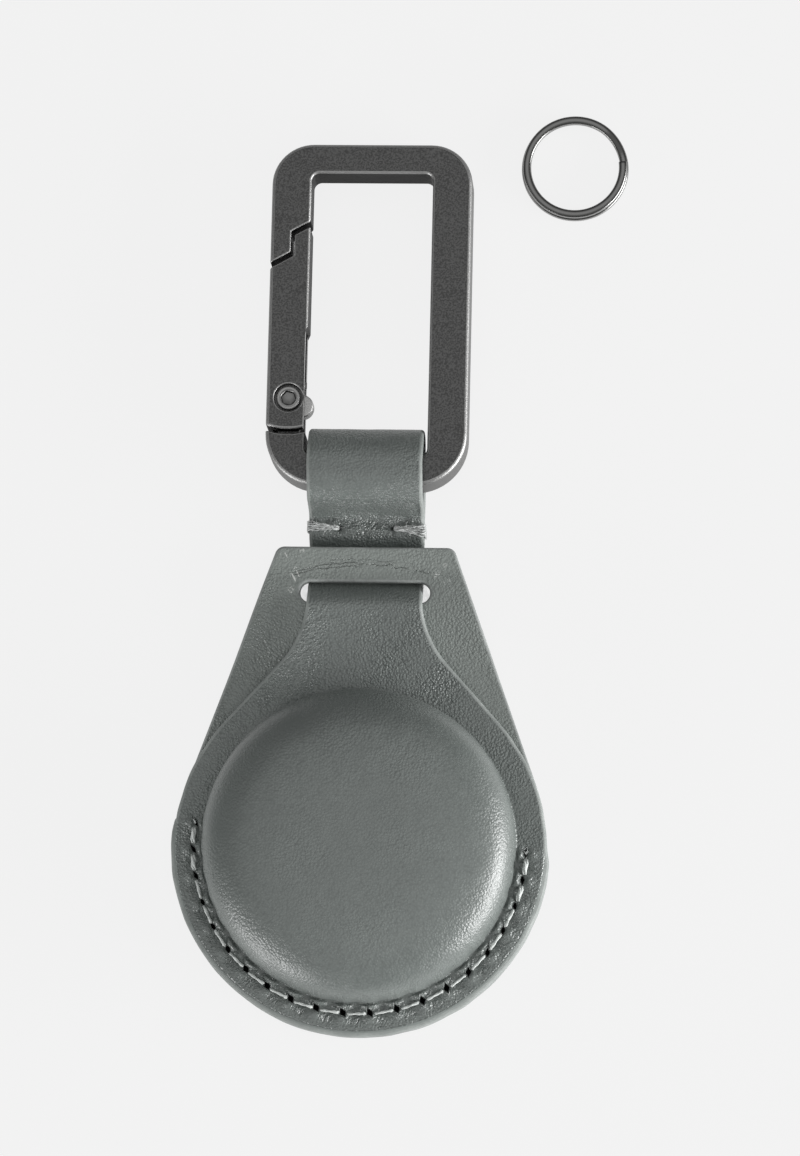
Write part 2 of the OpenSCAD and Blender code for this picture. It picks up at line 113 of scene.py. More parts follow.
def neck_edge(share):
    """A point on the right edge, from the round body up to where the strap begins."""
    left = share * (neck_run + neck_fillet_r * (neck_turn - neck_end_turn)) - neck_run
    if left < 0:
        return neck_start + (left + neck_run) * Vector((-math.sin(neck_turn), math.cos(neck_turn)))
    return Vector((fillet_x, fillet_y)) - polar(neck_fillet_r, neck_turn - left / neck_fillet_r)


def half_width(y):
    if y >= fillet_y:
        return strap_w / 2
    return fillet_x - math.sqrt(neck_fillet_r ** 2 - (fillet_y - y) ** 2)


def across(column, half, first=0.42, columns=strap_columns):
    """Place across a straight edge: even columns, with one of a set width at each end."""
    if column in (0, columns):
        return half * (1 - 2 * column / columns)
    return (half - first) * (1 - 2 * (column - 1) / (columns - 2))


def front_outline(k):
    column = k % stations - neck_from - neck_stations
    if 0 <= column <= strap_columns:
        return Vector((across(column, half_width(neck_end_y)), neck_end_y))
    past = max(-column, column - strap_columns)
    if past >= neck_stations:
        return rim_point(k)
    right = neck_edge(1 - past / neck_stations)
    return right if column < 0 else Vector((-right.x, right.y))


def verts_of(made):
    return {v for v in made if isinstance(v, bmesh.types.BMVert)}


def extruded(bm, row):
    """Extrudes a row of edges where it lies; returns the new vertices and the new row."""
    made = bmesh.ops.extrude_edge_only(bm, edges=row)["geom"]
    new = verts_of(made)
    return new, [e for e in made if isinstance(e, bmesh.types.BMEdge) and new.issuperset(e.verts)]


def grow(bm, row, places):
    """Extrudes a row of edges once for each of places, which gives a new vertex its point."""
    for place in places:
        new, row = extruded(bm, row)
        for v in new:
            v.co = place(v)
    return row


def ring_point(k, r, z):
    return polar(r, bearing(k), z)


def flange_point(k, toe, outline, reach):
    x, y = ring_point(k, *toe).xy.lerp(outline(k), reach)
    return Vector((x, y, toe[1] + climb(y)))


def disc(rows, outline, reaches):
    """A round sheet: rings at the radius and height of each of rows, then out to the outline."""
    bm = bmesh.new()
    station = bm.verts.layers.int.new("station")
    for name in ("thick", "along", "hole"):
        bm.verts.layers.float.new(name)
    bmesh.ops.create_circle(bm, cap_ends=True, cap_tris=True, segments=stations, radius=rows[0][0])
    ring = [v for v in bm.verts if len(v.link_faces) == 2]
    start = seam_start % (2 * math.pi)
    ring.sort(key=lambda v: (math.atan2(v.co.y, v.co.x) - start - 1e-4) % (2 * math.pi))
    for v in bm.verts:
        v.co.z = rows[0][1]
    for k, v in enumerate(ring):
        v[station] = k
        v.co = ring_point(k, *rows[0])
    row = [e for e in bm.edges if len(e.link_faces) == 1]
    places = [lambda v, r=r, z=z: ring_point(v[station], r, z) for r, z in rows[1:]]
    for reach in reaches:
        places.append(lambda v, reach=reach: flange_point(v[station], rows[-1], outline, reach))
    return bm, grow(bm, row, places)


flange_w = body_r + edge_spread - toe_end_r
flange_reach = [x / flange_w for x in (
    0.13, 0.26, 0.39, 0.52, 0.65, 0.78, 0.91, 1.04, 1.17, 1.31, 1.46, 1.62, 1.8, 2.0, 2.22, 2.46, 2.66, 2.78,
    2.87, 2.96, flange_w)]


def dome_z(r):
    return wall_z + (crown_z - wall_z) * max(0.0, 1 - (r / dome_r) ** dome_power) ** (1 / dome_power)


def arc_points(x, y, r, turn0, turn1, steps):
    """Points round (x, y) from turn0 to turn1, in degrees."""
    turns = [math.radians(turn0 + (turn1 - turn0) * i / steps) for i in range(steps + 1)]
    return [(x + r * math.cos(t), y + r * math.sin(t)) for t in turns]


dome_rows = [(r, dome_z(r)) for r in [1.2, 2.3] + [
    dome_r * math.sin(math.radians(3.75 * i)) ** (2 / dome_power) for i in range(2, 25)]]
dome_rows += arc_points(toe_end_r, toe_z, toe_r, 180, 270, 5)

# The strap's middle line, as (y, z): into the slot, up behind the top bar, round the metal bar, back
dive_y0, dive_y1 = 27.12, 30.5
behind_z, upper_z = 0.65, 1.85
back_top_y, climb_y1 = 33.9, 35.88
foot_y, foot_r, foot_turn = 36.6, 1.6, 75
bar_y, bar_z, loop_r, loop_slack = 41.962, 4.029, 3.43, 1.1
free_end_y = 34.7
per_mm = 5


def strap_z(y):
    if y < dive_y0:
        return stack_z + climb(y)
    if y < back_top_y:
        return behind_z + (stack_z + climb(dive_y0) - behind_z) * (1 - ease(y, dive_y0, dive_y1))
    return behind_z + (upper_z - behind_z) * ease(y, back_top_y, climb_y1)


strap_line = [(y / per_mm, strap_z(y / per_mm)) for y in range(130, 183)]
strap_line += arc_points(foot_y, upper_z + foot_r, foot_r, -90, foot_turn - 90, 12)
strap_line += arc_points(bar_y, bar_z, loop_r, 90 + foot_turn, 90, 20)
strap_line += arc_points(bar_y + loop_slack, bar_z, loop_r, 90, -90, 50)
strap_line += [(y / per_mm, bar_z - loop_r) for y in range(215, 170, -1)] + [(free_end_y, bar_z - loop_r)]
strap_run = [0.0]
for a, b in zip(strap_line, strap_line[1:]):
    strap_run.append(strap_run[-1] + math.dist(a, b))


def on_strap(run):
    i = max(i for i, s in enumerate(strap_run[:-1]) if s <= run + 1e-9)
    share = (run - strap_run[i]) / max(1e-9, strap_run[i + 1] - strap_run[i])
    a, b = strap_line[i], strap_line[i + 1]
    return a[0] + (b[0] - a[0]) * share, a[1] + (b[1] - a[1]) * share


cover, cover_rim = disc(dome_rows, front_outline, flange_reach)
station = cover.verts.layers.int["station"]
thick, along, hole = (cover.verts.layers.float[name] for name in ("thick", "along", "hole"))
for v in cover.verts:
    v[thick] = front_t
strap_from = neck_from + neck_stations
end_line = [e for e in cover_rim if all(0 <= v[station] - strap_from <= strap_columns for v in e.verts)]
strap_row_l = 0.29
strap_rows = int(strap_run[-1] / strap_row_l)
skived_l, skived_t, ply_gap = 7, 0.35, 0.06


def strap_place(v, run):
    """Where the strap is at run; its free end is skived to fit under the layer above it."""
    y, z = on_strap(run)
    v[along] = run
    if run > strap_run[-1] - skived_l and y < 38:
        room = strap_z(min(y, climb_y1)) - front_t / 2 - ply_gap
        v[thick] = max(skived_t, min(front_t, room))
        z = v[thick] / 2
    sway = 0.05 * noise.noise((0.0, 0.35 * run, 7.0))
    return Vector((across(v[station] - strap_from, half_width(y) if run < 6 else strap_w / 2) + sway, y, z))


grow(cover, end_line, [lambda v, run=strap_run[-1] * (i + 1) / strap_rows: strap_place(v, run)
                       for i in range(strap_rows)])


def shell(bm, thick):
    """Gives the sheet its thickness to both sides; returns the upper vertices and the two rims."""
    bmesh.ops.recalc_face_normals(bm, faces=bm.faces)
    bm.normal_update()
    if sum(f.normal.z for f in bm.faces if f.calc_center_median().length < 15) < 0:
        bmesh.ops.reverse_faces(bm, faces=bm.faces)
        bm.normal_update()
    upper = list(bm.verts)
    normals = {v: v.normal.copy() for v in upper}
    rim = [e for e in bm.edges if e.is_boundary]
    lower = verts_of(bmesh.ops.extrude_face_region(bm, geom=bm.faces[:], use_keep_orig=True)["geom"])
    # the copy that extrude makes lies at the same points, so each finds its normal by place
    near = {tuple(round(c, 4) for c in v.co): normals[v] for v in upper}
    for v in lower:
        v.co -= near[tuple(round(c, 4) for c in v.co)] * v[thick] / 2
    for v in upper:
        v.co += normals[v] * v[thick] / 2
    low_rim = [e for e in bm.edges if lower.issuperset(e.verts)
               and any(not lower.issuperset(f.verts) for f in e.link_faces)]
    bmesh.ops.recalc_face_normals(bm, faces=bm.faces)
    return upper, normals, rim, low_rim


def rounded_edges(bm, geom, width, segments=3, affect="EDGES"):
    return bmesh.ops.bevel(bm, geom=geom, offset=width, offset_type="OFFSET", affect=affect, segments=segments,
                           profile=0.5, material=-1, clamp_overlap=False)["faces"]


def painted_edges(bm, rim, low_rim, width, low_width):
    """Rounds both edges of a cut side and gives them and the side the second material."""
    side = {f for e in rim for f in e.link_faces} & {f for e in low_rim for f in e.link_faces}
    for f in side:
        f.material_index = 1
    thick = bm.verts.layers.float["thick"]
    for edges, inset, segments in ((rim, width, 4), (low_rim, low_width, 2)):
        # the skived end is too thin to be rounded
        full = [e for e in edges if min(v[thick] for v in e.verts) > width + low_width]
        for f in rounded_edges(bm, full, inset, segments):
            f.material_index = 1


def seam_place(x, y):
    """How far round the seam a point lies, in stitches, and how far from the body's centre, in mm."""
    turn = (math.atan2(y, x) - seam_start) % (2 * math.pi)
    if turn > math.pi + seam_sweep / 2:
        turn -= 2 * math.pi
    return turn / seam_sweep * stitches, math.hypot(x, y)


tack_y, tack_hole_x = 36.1, 3.1


def cover_relief(v):
    """How far the grain side stands above or below its plain form at v."""
    x, y, z = v.co
    run = v[along]
    rise = 0.05 * noise.noise(v.co * 0.16) + 0.02 * noise.noise(v.co * 0.5)
    if run > 0:
        # where the strap climbs to the loop its grain is crumpled, and the tacks pull two pits in it
        if 33 < y < 41 and z > 0.8 and run < 22:
            worn = ease(y, 34.2, 35.4) * (1 - ease(y, 37.6, 40.5))
            fold = noise.noise((x * 0.9, y * 2.2, 1.3)) + 0.6 * noise.noise((x * 2.6, y * 4.2, 5.1))
            rise += 0.15 * worn * fold
            for side in (-1, 1):
                away = math.hypot((x - side * (tack_hole_x - 0.05)) / 0.55, (y - tack_y) / 0.42)
                pit = ease(1 - away, 0.0, 0.9)
                rise -= 0.45 * pit
                # the pit is also marked, so the leather's colour puts painted shade in it
                v[hole] = max(v[hole], pit)
        return rise
    share, r = seam_place(x, y)
    if r < 17.0 or r > 22 or not -1.2 < share < stitches + 1.2:
        return rise
    nearest = min(stitches, max(0, round(share)))
    off = abs(share - nearest) * seam_sweep / stitches * r
    on_seam = ease(share, -0.35, 0.1) * (1 - ease(share, stitches - 0.1, stitches + 0.35))
    pull = math.sin(math.pi * min(0.5, abs(share - nearest))) ** 2
    lively = 1 + 0.35 * noise.noise((nearest * 3.7, 0.0, 2.0))
    # the thread draws the leather down, and it swells between two stitches on both sides of a hole
    rise -= 0.30 * on_seam * pull * math.exp(-((r - 18.5) / 0.62) ** 2)
    for height, half_l, swell_r, half_w in ((0.32, 1.2, 17.95, 0.38), (0.22, 0.8, 19.35, 0.45)):
        swell = max(0.0, 1 - (off / half_l) ** 2) * math.exp(-((r - swell_r) / half_w) ** 2)
        rise += height * on_seam * lively * swell
    rise -= 0.10 * on_seam * math.exp(-((r - 17.62 + 0.1 * pull) / 0.15) ** 2)
    rise -= 0.45 * on_seam * ease(1 - math.hypot(off / 0.42, (r - hole_r) / 0.4), 0.0, 0.7)
    return rise - on_seam * 0.22 * ease(r, 20.55, 21.3)


upper, normals, rim, low_rim = shell(cover, thick)
for v in upper:
    v.co += normals[v] * cover_relief(v)
    v.co.z = max(v.co.z, 0.0)
painted_edges(cover, rim, low_rim, edge_round, low_round)


class Shade:
    """A socket in a material's node tree, which +, -, * and / work on."""

    def __init__(self, tree, socket=None):
        self.tree = tree
        self.socket = socket

    def node(self, kind, settings=None, sockets=None, out=0):
        made = self.tree.nodes.new("ShaderNode" + kind)
        for name, value in (settings or {}).items():
            setattr(made, name, value)
        for name, value in (sockets or {}).items():
            if isinstance(value, Shade):
                self.tree.links.new(value.socket, made.inputs[name])
            else:
                made.inputs[name].default_value = value
        return Shade(self.tree, made.outputs[out])

    def maths(self, operation, a, b=0.0):
        return self.node("Math", {"operation": operation}, {0: a, 1: b})

    def __add__(self, other):
        return self.maths("ADD", self, other)

    def __sub__(self, other):
        return self.maths("SUBTRACT", self, other)

    def __rsub__(self, other):
        return self.maths("SUBTRACT", other, self)

    def __mul__(self, other):
        return self.maths("MULTIPLY", self, other)

    def __truediv__(self, other):
        return self.maths("DIVIDE", self, other)

    def __rtruediv__(self, other):
        return self.maths("DIVIDE", other, self)

    __radd__, __rmul__ = __add__, __mul__

    def __abs__(self):
        return self.maths("ABSOLUTE", self)

    def hypot(self, other):
        return self.maths("SQRT", self * self + other * other)

    def step(self, low, high):
        """0 below low, 1 above high, smooth between."""
        return self.node("MapRange", {"interpolation_type": "SMOOTHSTEP"}, {0: self, 1: low, 2: high})

    def bump(self, low, high, soft):
        """1 between low and high, 0 outside, with soft sides."""
        return self.step(low - soft, low + soft) * (1 - self.step(high - soft, high + soft))

    def colours(self, low, high):
        """From the colour low at 0 to high at 1."""
        low, high = ((*c, 1) if isinstance(c, tuple) else c for c in (low, high))
        return self.node("Mix", {"data_type": "RGBA"}, {0: self, 6: low, 7: high}, 2)

    def vector(self, x, y=0.0):
        return self.node("CombineXYZ", sockets={0: x, 1: y})

    def mottle(self, place, scale, detail=2.0, roughness=0.5, out=0):
        """Noise round 0.5, in spots of 1/scale."""
        return self.node("TexNoise", sockets={
            "Vector": place, "Scale": scale, "Detail": detail, "Roughness": roughness}, out=out)

    def normal(self, distance, strength=1.0):
        """The normal of a surface that rises by this value times distance."""
        return self.node("Bump", sockets={"Strength": strength, "Distance": distance, "Height": self})


def new_material(name):
    made = bpy.data.materials.new(name)
    made.use_nodes = True
    made.node_tree.nodes.clear()
    return made, Shade(made.node_tree)


def finished(material, surface):
    out = surface.tree.nodes.new("ShaderNodeOutputMaterial")
    surface.tree.links.new(surface.socket, out.inputs[0])
    return material


def seam_marks(shade, x, y):
    """Awl holes, their raised lips, the pulled wrinkles and the crease along the rim; x and y in mm."""
    pitch_turn = seam_sweep / stitches
    r = x.hypot(y)
    turn = shade.maths("ARCTAN2", y, x) + (4 * math.pi - seam_start + pitch_turn)
    share = shade.maths("FLOORED_MODULO", turn, 2 * math.pi) / pitch_turn
    nearest = shade.maths("ROUND", share)
    centre = nearest * pitch_turn + (seam_start - pitch_turn)
    odd = shade.mottle(shade.vector(nearest * 3.1), 1.0)
    dx = x - shade.maths("COSINE", centre) * hole_r
    dy = y - shade.maths("SINE", centre) * hole_r
    lean = math.radians(60) + x.step(5.0, 15.0) * math.radians(33) + (odd - 0.5) * 0.9
    cosine, sine = shade.maths("COSINE", lean), shade.maths("SINE", lean)
    long = abs(dx * cosine - dy * sine) / 0.6
    short = abs(dx * sine + dy * cosine) / (0.19 + (0 - y).step(8.0, 17.0) * 0.15)
    rag = shade.mottle(shade.vector(x, y), 3.2, 3.0)
    reach = (long + short) * (1 + (rag - 0.5) * 0.5)
    on_holes = share.bump(0.72, stitches + 1.28, 0.02)
    holes = (1 - reach.step(0.8, 1.12)) * on_holes
    lips = reach.bump(1.12, 1.45, 0.16) * on_holes
    on_seam = share.bump(0.9, stitches + 1.1, 0.15)
    part = share - shade.maths("FLOOR", share)
    fan = 1 - abs(part - 0.42).step(0.1, 0.36)
    streaks = shade.mottle(shade.vector(share * 9.0 + r * 0.5, r * 1.1), 1.0, 2.0, 0.6)
    pulled = (r.bump(19.05, 19.95, 0.25) * fan + r.bump(17.0, 17.9, 0.25) * (1 - fan) * 0.5) * on_seam
    crease = r.bump(20.52, 20.66, 0.09) * on_seam * (0 - y).step(2.0, 12.0)
    paint = r.step(20.6, 20.72) * on_seam
    return holes, lips, (streaks - 0.5) * pulled, crease, paint


def leather(name, dark, light, grain=1.0, roughness=0.41, seam=False, worn=False):
    """Smooth calf leather: fine pebble grain, uneven dye, painted shade in the pits, satin wax finish."""
    material, shade = new_material(name)
    place = shade.node("TexCoord", out=3)
    x, y, z = (shade.node("SeparateXYZ", sockets={0: place}, out=i) * 1000 for i in range(3))
    drift = shade.mottle(place, 1100.0, out=1)
    bent = shade.node("VectorMath", {"operation": "MULTIPLY_ADD"}, {0: drift, 1: (0.00012,) * 3, 2: place})
    cells = shade.node("TexVoronoi", {"feature": "SMOOTH_F1"}, {"Vector": bent, "Scale": 3700.0, "Smoothness": 0.3})
    fine = shade.mottle(place, 5600.0, 2.0, 0.6)
    broad = shade.mottle(place, 130.0, 4.0, 0.55)
    cloud = shade.mottle(place, 800.0, 3.0, 0.6)
    hole_shade = shade.node("Attribute", {"attribute_name": "hole"}, out=2)
    deep = 0.55 + broad.step(0.35, 0.65) * 0.9
    tone = (broad - 0.5) * 0.5 + 0.5 + (cloud - 0.5) * 0.45 - (cells - 0.35) * 0.5
    spread = x.hypot(y)
    # the grain is pulled flat over the dome and stands up in the neck and down the back's left leg
    if seam:
        drawn = 1 - spread.bump(-1.0, 17.6, 0.9) * 0.58 + y.bump(15.0, 27.5, 2.5) * 0.35
    else:
        drawn = 1 + (0 - x).step(3.0, 12.0) * 0.6
    relief = ((0.45 - cells) * (0.9 * grain) * deep + fine * 0.3 + cloud * 0.35) * drawn
    shine = roughness + (fine - 0.5) * 0.14 + (broad - 0.5) * 0.12
    if seam:
        # the crumpled zone below the loop: crumpled relief, and painted shade beside the back cover's top bar
        crumple_and_shade = y.bump(34.4, 38.6, 0.7) * z.step(1.0, 2.2)
        holes, lips, wrinkles, crease, paint = seam_marks(shade, x, y)
        relief = (relief * (1 - paint * 0.85) * (1 + crumple_and_shade * 0.7)
                  + wrinkles * 5.0 + lips * 1.4 - holes * 3.5 - crease * 0.7)
        # tone: the edge paint paler, painted highlights on the holes' lips, painted highlight and shade along the
        # pulled wrinkles, painted shade in the rim's crease and in the crumpled zone
        tone = (tone * (1 - paint * 0.6) - crumple_and_shade * 0.3
                + paint * 0.9 + lips * 0.7 + wrinkles * 2.0 - crease * 0.5)
        # painted shade on the dome's stretched shoulder, strongest on its upper left side, away from the lamps
        upper_left_shade = (y * 0.75 - x * 0.65).step(0.0, 12.0)
        tone = tone - spread.bump(13.0, 17.2, 1.6) * (upper_left_shade * 0.42 + 0.14)
        hole_shade = shade.maths("MAXIMUM", hole_shade, holes)
        shine = shine - paint * 0.08
    if worn:
        # creases that run along the top bar above the slot, with painted shade in them, and the rubbed spots at its
        # ends
        sway = shade.mottle(place, 900.0, 3.0, 0.65)
        left = shade.maths("MINIMUM", x + 2.4, 0.0)
        right = shade.maths("MAXIMUM", x + 2.4, 0.0)
        arch = y - 32.05 + left * left * 0.035 + right * right * 0.011 - (sway - 0.5) * 0.9
        creased = 0.0
        for off, half_w, x0, x1, soft, depth in (
                (0.0, 0.11, -8.0, 7.0, 0.6, 1.0), (0.36, 0.08, -8.6, -0.5, 0.6, 1.0),
                (-0.42, 0.07, -4.0, 3.0, 0.8, 0.6)):
            creased = (1 - abs(arch + off).step(0.02, half_w)) * x.bump(x0, x1, soft) * depth + creased
        creased = creased * shade.mottle(place, 1500.0, 1.0).step(0.36, 0.5)
        drawn_out = shade.node("VectorMath", {"operation": "MULTIPLY"}, {0: bent, 1: (0.55, 1.2, 1.0)})
        crinkle = shade.node("TexVoronoi", {"feature": "DISTANCE_TO_EDGE"}, {"Vector": drawn_out, "Scale": 1500.0})
        bar = y.bump(30.4, 33.3, 0.5) * z.step(1.5, 2.0)
        near_arch = 1 - abs(arch).step(0.2, 0.9)
        relief = relief - creased * 1.3 - (1 - crinkle.step(0.0, 0.07)) * bar * near_arch * 0.25
        rubbed = 0.0
        for u, v, w in (
                (-7.2, 33.5, 0.5), (9.0, 31.9, 0.35), (8.1, 30.8, 0.6), (-8.4, 28.9, 0.6), (-7.9, 31.4, 0.3)):
            rubbed = (1 - (x - u).hypot(y - v).step(w * 0.3, w)) + rubbed
        scratches = shade.mottle(shade.vector(x * 2.6 + y * 1.2, y * 0.45 - x * 0.2), 1.0, 1.0).step(0.66, 0.7)
        bar_ends = (x.bump(-9.4, -6.9, 0.4) * y.bump(28.6, 33.4, 0.5)
                    + x.bump(7.6, 9.6, 0.4) * y.bump(30.0, 33.2, 0.5))
        rubbed = rubbed * fine.step(0.5, 0.62) + scratches * bar_ends
        # painted shade down the left leg, beside the raised neck; the top bar is made lighter
        left_leg_shade = (0 - x).step(4.0, 11.0) * y.bump(5.0, 28.0, 2.0)
        tone = tone - creased * 0.4 + rubbed * 2.2 + y.step(30.0, 32.0) * 0.45 - left_leg_shade * 0.4
    ground = tone.colours(dark, light)
    if worn:
        ground = (rubbed * 0.7).colours(ground, (0.62, 0.63, 0.61))
    surface = shade.node("BsdfPrincipled", sockets={
        "Base Color": ground, "Roughness": shine, "Specular IOR Level": 1.0, "Normal": relief.normal(0.0001),
        "Sheen Weight": 0.06, "Sheen Roughness": 0.5})
    # painted shade: the awl holes and tack pits are mixed to near black
    painted_hole_shade = shade.node("BsdfDiffuse", sockets={"Color": (0.004, 0.004, 0.004, 1)})
    return finished(material, shade.node("MixShader", sockets={0: hole_shade, 1: surface, 2: painted_hole_shade}))


def painted(name, dark, light):
    """The cut edge: sanded, painted and burnished, so smoother and paler than the grain side."""
    material, shade = new_material(name)
    place = shade.node("TexCoord", out=3)
    broad = shade.mottle(place, 300.0, 4.0)
    fine = shade.mottle(place, 3000.0, 3.0)
    return finished(material, shade.node("BsdfPrincipled", sockets={
        "Base Color": ((broad - 0.5) * 1.3 + fine * 0.5 + 0.25).colours(dark, light),
        "Roughness": 0.55 + (fine - 0.5) * 0.2, "Specular IOR Level": 0.4,
        "Normal": (fine + broad * 2).normal(0.00006, 0.5)}))


def solid(bm, name):
    mesh = bpy.data.meshes.new(name)
    bm.to_mesh(mesh)
    bm.free()
    made = bpy.data.objects.new(name, mesh)
    bpy.context.scene.collection.objects.link(made)
    return made


def put_on(bm, name, materials, body, nodes, lie=Matrix()):
    """Makes the finished mesh a piece of the object, in metres, on its body and in its nodes' place."""
    bmesh.ops.transform(bm, matrix=lie, verts=bm.verts)
    bmesh.ops.scale(bm, vec=(0.001, 0.001, 0.001), verts=bm.verts)
    piece = solid(bm, name)
    for material in materials:
        piece.data.materials.append(material)
    for face in piece.data.polygons:
        face.use_smooth = True
    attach(piece, body)
    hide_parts(*nodes)
    return piece


front_leather = leather("front leather", (0.082, 0.095, 0.089), (0.165, 0.186, 0.176), seam=True)
front_edge = painted("painted front edge", (0.15, 0.165, 0.158), (0.31, 0.33, 0.318))
put_on(cover, "front_cover_leather", [front_leather, front_edge], "holder", ["front_cover"])

# Back cover: two plies of 0.75 mm leather glued back to back, cut as a disc that narrows to a
# straight top bar, with a slot punched for the strap. The seam's thread sews them to the front.
ply_t = 0.75
side_turn = math.radians(19.9)
back_corner_r = 1.1
slot_l, slot_w, slot_y = 14.7, 2.3, 28.75
patch_y = 24.4


def side_x(y):
    return (body_r - y * math.sin(side_turn)) / math.cos(side_turn)


back_from = min(k for k in range(seam_stations, stations) if bearing(k) - 2 * math.pi > side_turn)
back_to = max(k for k in range(seam_stations, stations) if bearing(k) - 2 * math.pi < math.pi - side_turn)
patch_columns = 96
side_stations = (back_to - back_from - patch_columns) // 2
patch_from = back_from + side_stations
back_reach = [x / 3.5 for x in (0.35, 0.8, 1.3, 1.8, 2.3, 2.75, 3.12, 3.5)]


def back_outline(k):
    k %= stations
    if not back_from <= k <= back_to:
        return rim_point(k)
    column = k - patch_from
    if 0 <= column <= patch_columns:
        return Vector((across(column, side_x(patch_y), 0.4, patch_columns), patch_y))
    right = column < 0
    share = (k - back_from if right else back_to - k) / (
        side_stations if right else back_to - patch_from - patch_columns)
    side_y = body_r * math.sin(side_turn)
    y = side_y + (patch_y - side_y) * share
    return Vector((side_x(y) if right else -side_x(y), y))


def back_ply(middle_z, thickness):
    rows = [(r, middle_z) for r in (3.0, 9.0, 14.0, toe_end_r)]
    bm, rim = disc(rows, back_outline, back_reach)
    station = bm.verts.layers.int["station"]
    thick = bm.verts.layers.float["thick"]
    end_line = [e for e in rim if all(0 <= v[station] - patch_from <= patch_columns for v in e.verts)]
    # the rest of the patch's border: up the right side, along the top, and down the left
    corner = Vector((side_x(back_top_y), back_top_y))
    cut = back_corner_r * math.tan((math.pi / 2 - side_turn) / 2)
    round_from = corner + cut * Vector((math.sin(side_turn), -math.cos(side_turn)))
    centre = Vector((corner.x - cut, back_top_y - back_corner_r))
    right = [Vector((side_x(patch_y), patch_y)).lerp(round_from, i / 26) for i in range(27)]
    right += [Vector(p) for p in arc_points(*centre, back_corner_r, math.degrees(side_turn), 90, 8)[1:]]
    right += [Vector((centre.x * (1 - i / 40), back_top_y)) for i in range(1, 41)]
    border = right + [Vector((-p.x, p.y)) for p in reversed(right[:-1])]
    marks = sorted({v for e in end_line for v in e.verts}, key=lambda v: v.co.x)
    chain = [bm.verts.new((*p, middle_z + climb(p.y))) for p in border[1:-1]]
    chain = [marks[-1], *chain, marks[0]]
    loop = end_line + [bm.edges.new(pair) for pair in zip(chain, chain[1:])]
    # each border point knows its place round the slot: its lower side, end, upper side, end
    half_flat = (slot_l - slot_w) / 2

    def round_slot(p):
        if abs(p.y - patch_y) < 1e-4:
            return Vector((half_flat * p.x / side_x(patch_y), slot_y - slot_w / 2))
        if p.y > back_top_y - 1e-4:
            return Vector((half_flat * p.x / centre.x, slot_y + slot_w / 2))
        turn = math.pi * ((p.y - patch_y) / (back_top_y - patch_y) - 0.5)
        return Vector((math.copysign(half_flat + slot_w / 2 * math.cos(turn), p.x),
                       slot_y + slot_w / 2 * math.sin(turn)))

    border_of = {}
    for i, v in enumerate({v for e in loop for v in e.verts}):
        v[station] = 10000 + i
        border_of[10000 + i] = v.co.copy()

    def patch_place(v, reach):
        p = border_of[v[station]]
        x, y = p.xy.lerp(round_slot(p), reach)
        return Vector((x, y, middle_z + climb(y)))

    steps = [0.1] + [0.1 + 0.8 * i / 10 for i in range(1, 11)] + [1.0]
    grow(bm, loop, [lambda v, reach=reach: patch_place(v, reach) for reach in steps])
    for v in bm.verts:
        v[thick] = thickness
    return bm, *shell(bm, thick)[2:]


back_leather = leather("back leather", (0.125, 0.142, 0.132), (0.215, 0.24, 0.224), grain=0.7, roughness=0.42,
                       worn=True)
back_edge = painted("painted back edge", (0.17, 0.18, 0.175), (0.33, 0.35, 0.34))
outside_round, glued_round = 0.26, 0.07
for name, node, middle_z, rounds in (
        ("back_cover_upper_ply", "back_cover_inner", 1.5 * ply_t + 0.005, (outside_round, glued_round)),
        ("back_cover_lower_ply", "back_cover_outer", ply_t / 2 - 0.005, (glued_round, outside_round))):
    ply, rim, low_rim = back_ply(middle_z, ply_t - 0.01)
    painted_edges(ply, rim, low_rim, *rounds)
    put_on(ply, name, [back_leather, back_edge], "holder", [node])

# Seam: waxed polyester thread sewn through all three layers in 20 long stitches, that dive into
# awl holes. The first and last two are sewn twice over, so they look fat, and a cut tuft ends them.


def thread_tube(bm, points, radius, plies=3, twist=2.6, sides=12, phase=0.0, flat=1.0):
    """A twisted thread along points: a lobed section that turns as it goes."""
    made = bmesh.ops.create_circle(bm, cap_ends=True, segments=sides, radius=1.0)["verts"]
    ring = sorted(made, key=lambda v: math.atan2(v.co.y, v.co.x))
    turns = [2 * math.pi * i / sides for i in range(sides)]
    run = 0.0
    row = list({e for v in ring for e in v.link_edges})
    previous = None
    for i, point in enumerate(points):
        ahead = (points[min(i + 1, len(points) - 1)] - points[max(i - 1, 0)]).normalized()
        side = ahead.cross(Vector((0, 0, 1))) if previous is None else previous - ahead * previous.dot(ahead)
        if side.length < 1e-6:
            side = ahead.cross(Vector((1, 0, 0)))
        side.normalize()
        previous = side
        up = side.cross(ahead)
        if i:
            run += (point - points[i - 1]).length
            new, row = extruded(bm, row)
            ring = [next(e.other_vert(v) for e in v.link_edges if e.other_vert(v) in new) for v in ring]
        r = radius(i / (len(points) - 1)) if callable(radius) else radius
        for v, turn in zip(ring, turns):
            lobe = r * (0.84 + 0.16 * math.cos(plies * (turn - phase) - twist * run / max(r, 0.05)))
            v.co = point + lobe * (math.cos(turn) * side + flat * math.sin(turn) * up)
    bmesh.ops.contextual_create(bm, geom=row)


def seam_point(share, r, z):
    return polar(r, seam_start + seam_sweep * share / stitches, z)


def stitch_points(start, end, top, steps=16):
    """Straight from one point over the leather to the next, and down into a hole at both ends."""
    return [start.lerp(end, i / steps) + Vector((0, 0, top - 0.6 * abs(2 * i / steps - 1) ** 8))
            for i in range(steps + 1)]


def thread_material(name, dark, light):
    material, shade = new_material(name)
    place = shade.node("TexCoord", out=3)
    fibres = shade.mottle(place, 9000.0, 3.0, 0.7)
    tone = shade.mottle(place, 1500.0)
    return finished(material, shade.node("BsdfPrincipled", sockets={
        "Base Color": ((fibres - 0.5) * 1.2 + tone).colours(dark, light),
        "Roughness": 0.48 + (fibres - 0.5) * 0.3, "Specular IOR Level": 0.5,
        "Normal": fibres.normal(0.00005, 0.6), "Sheen Weight": 0.15}))


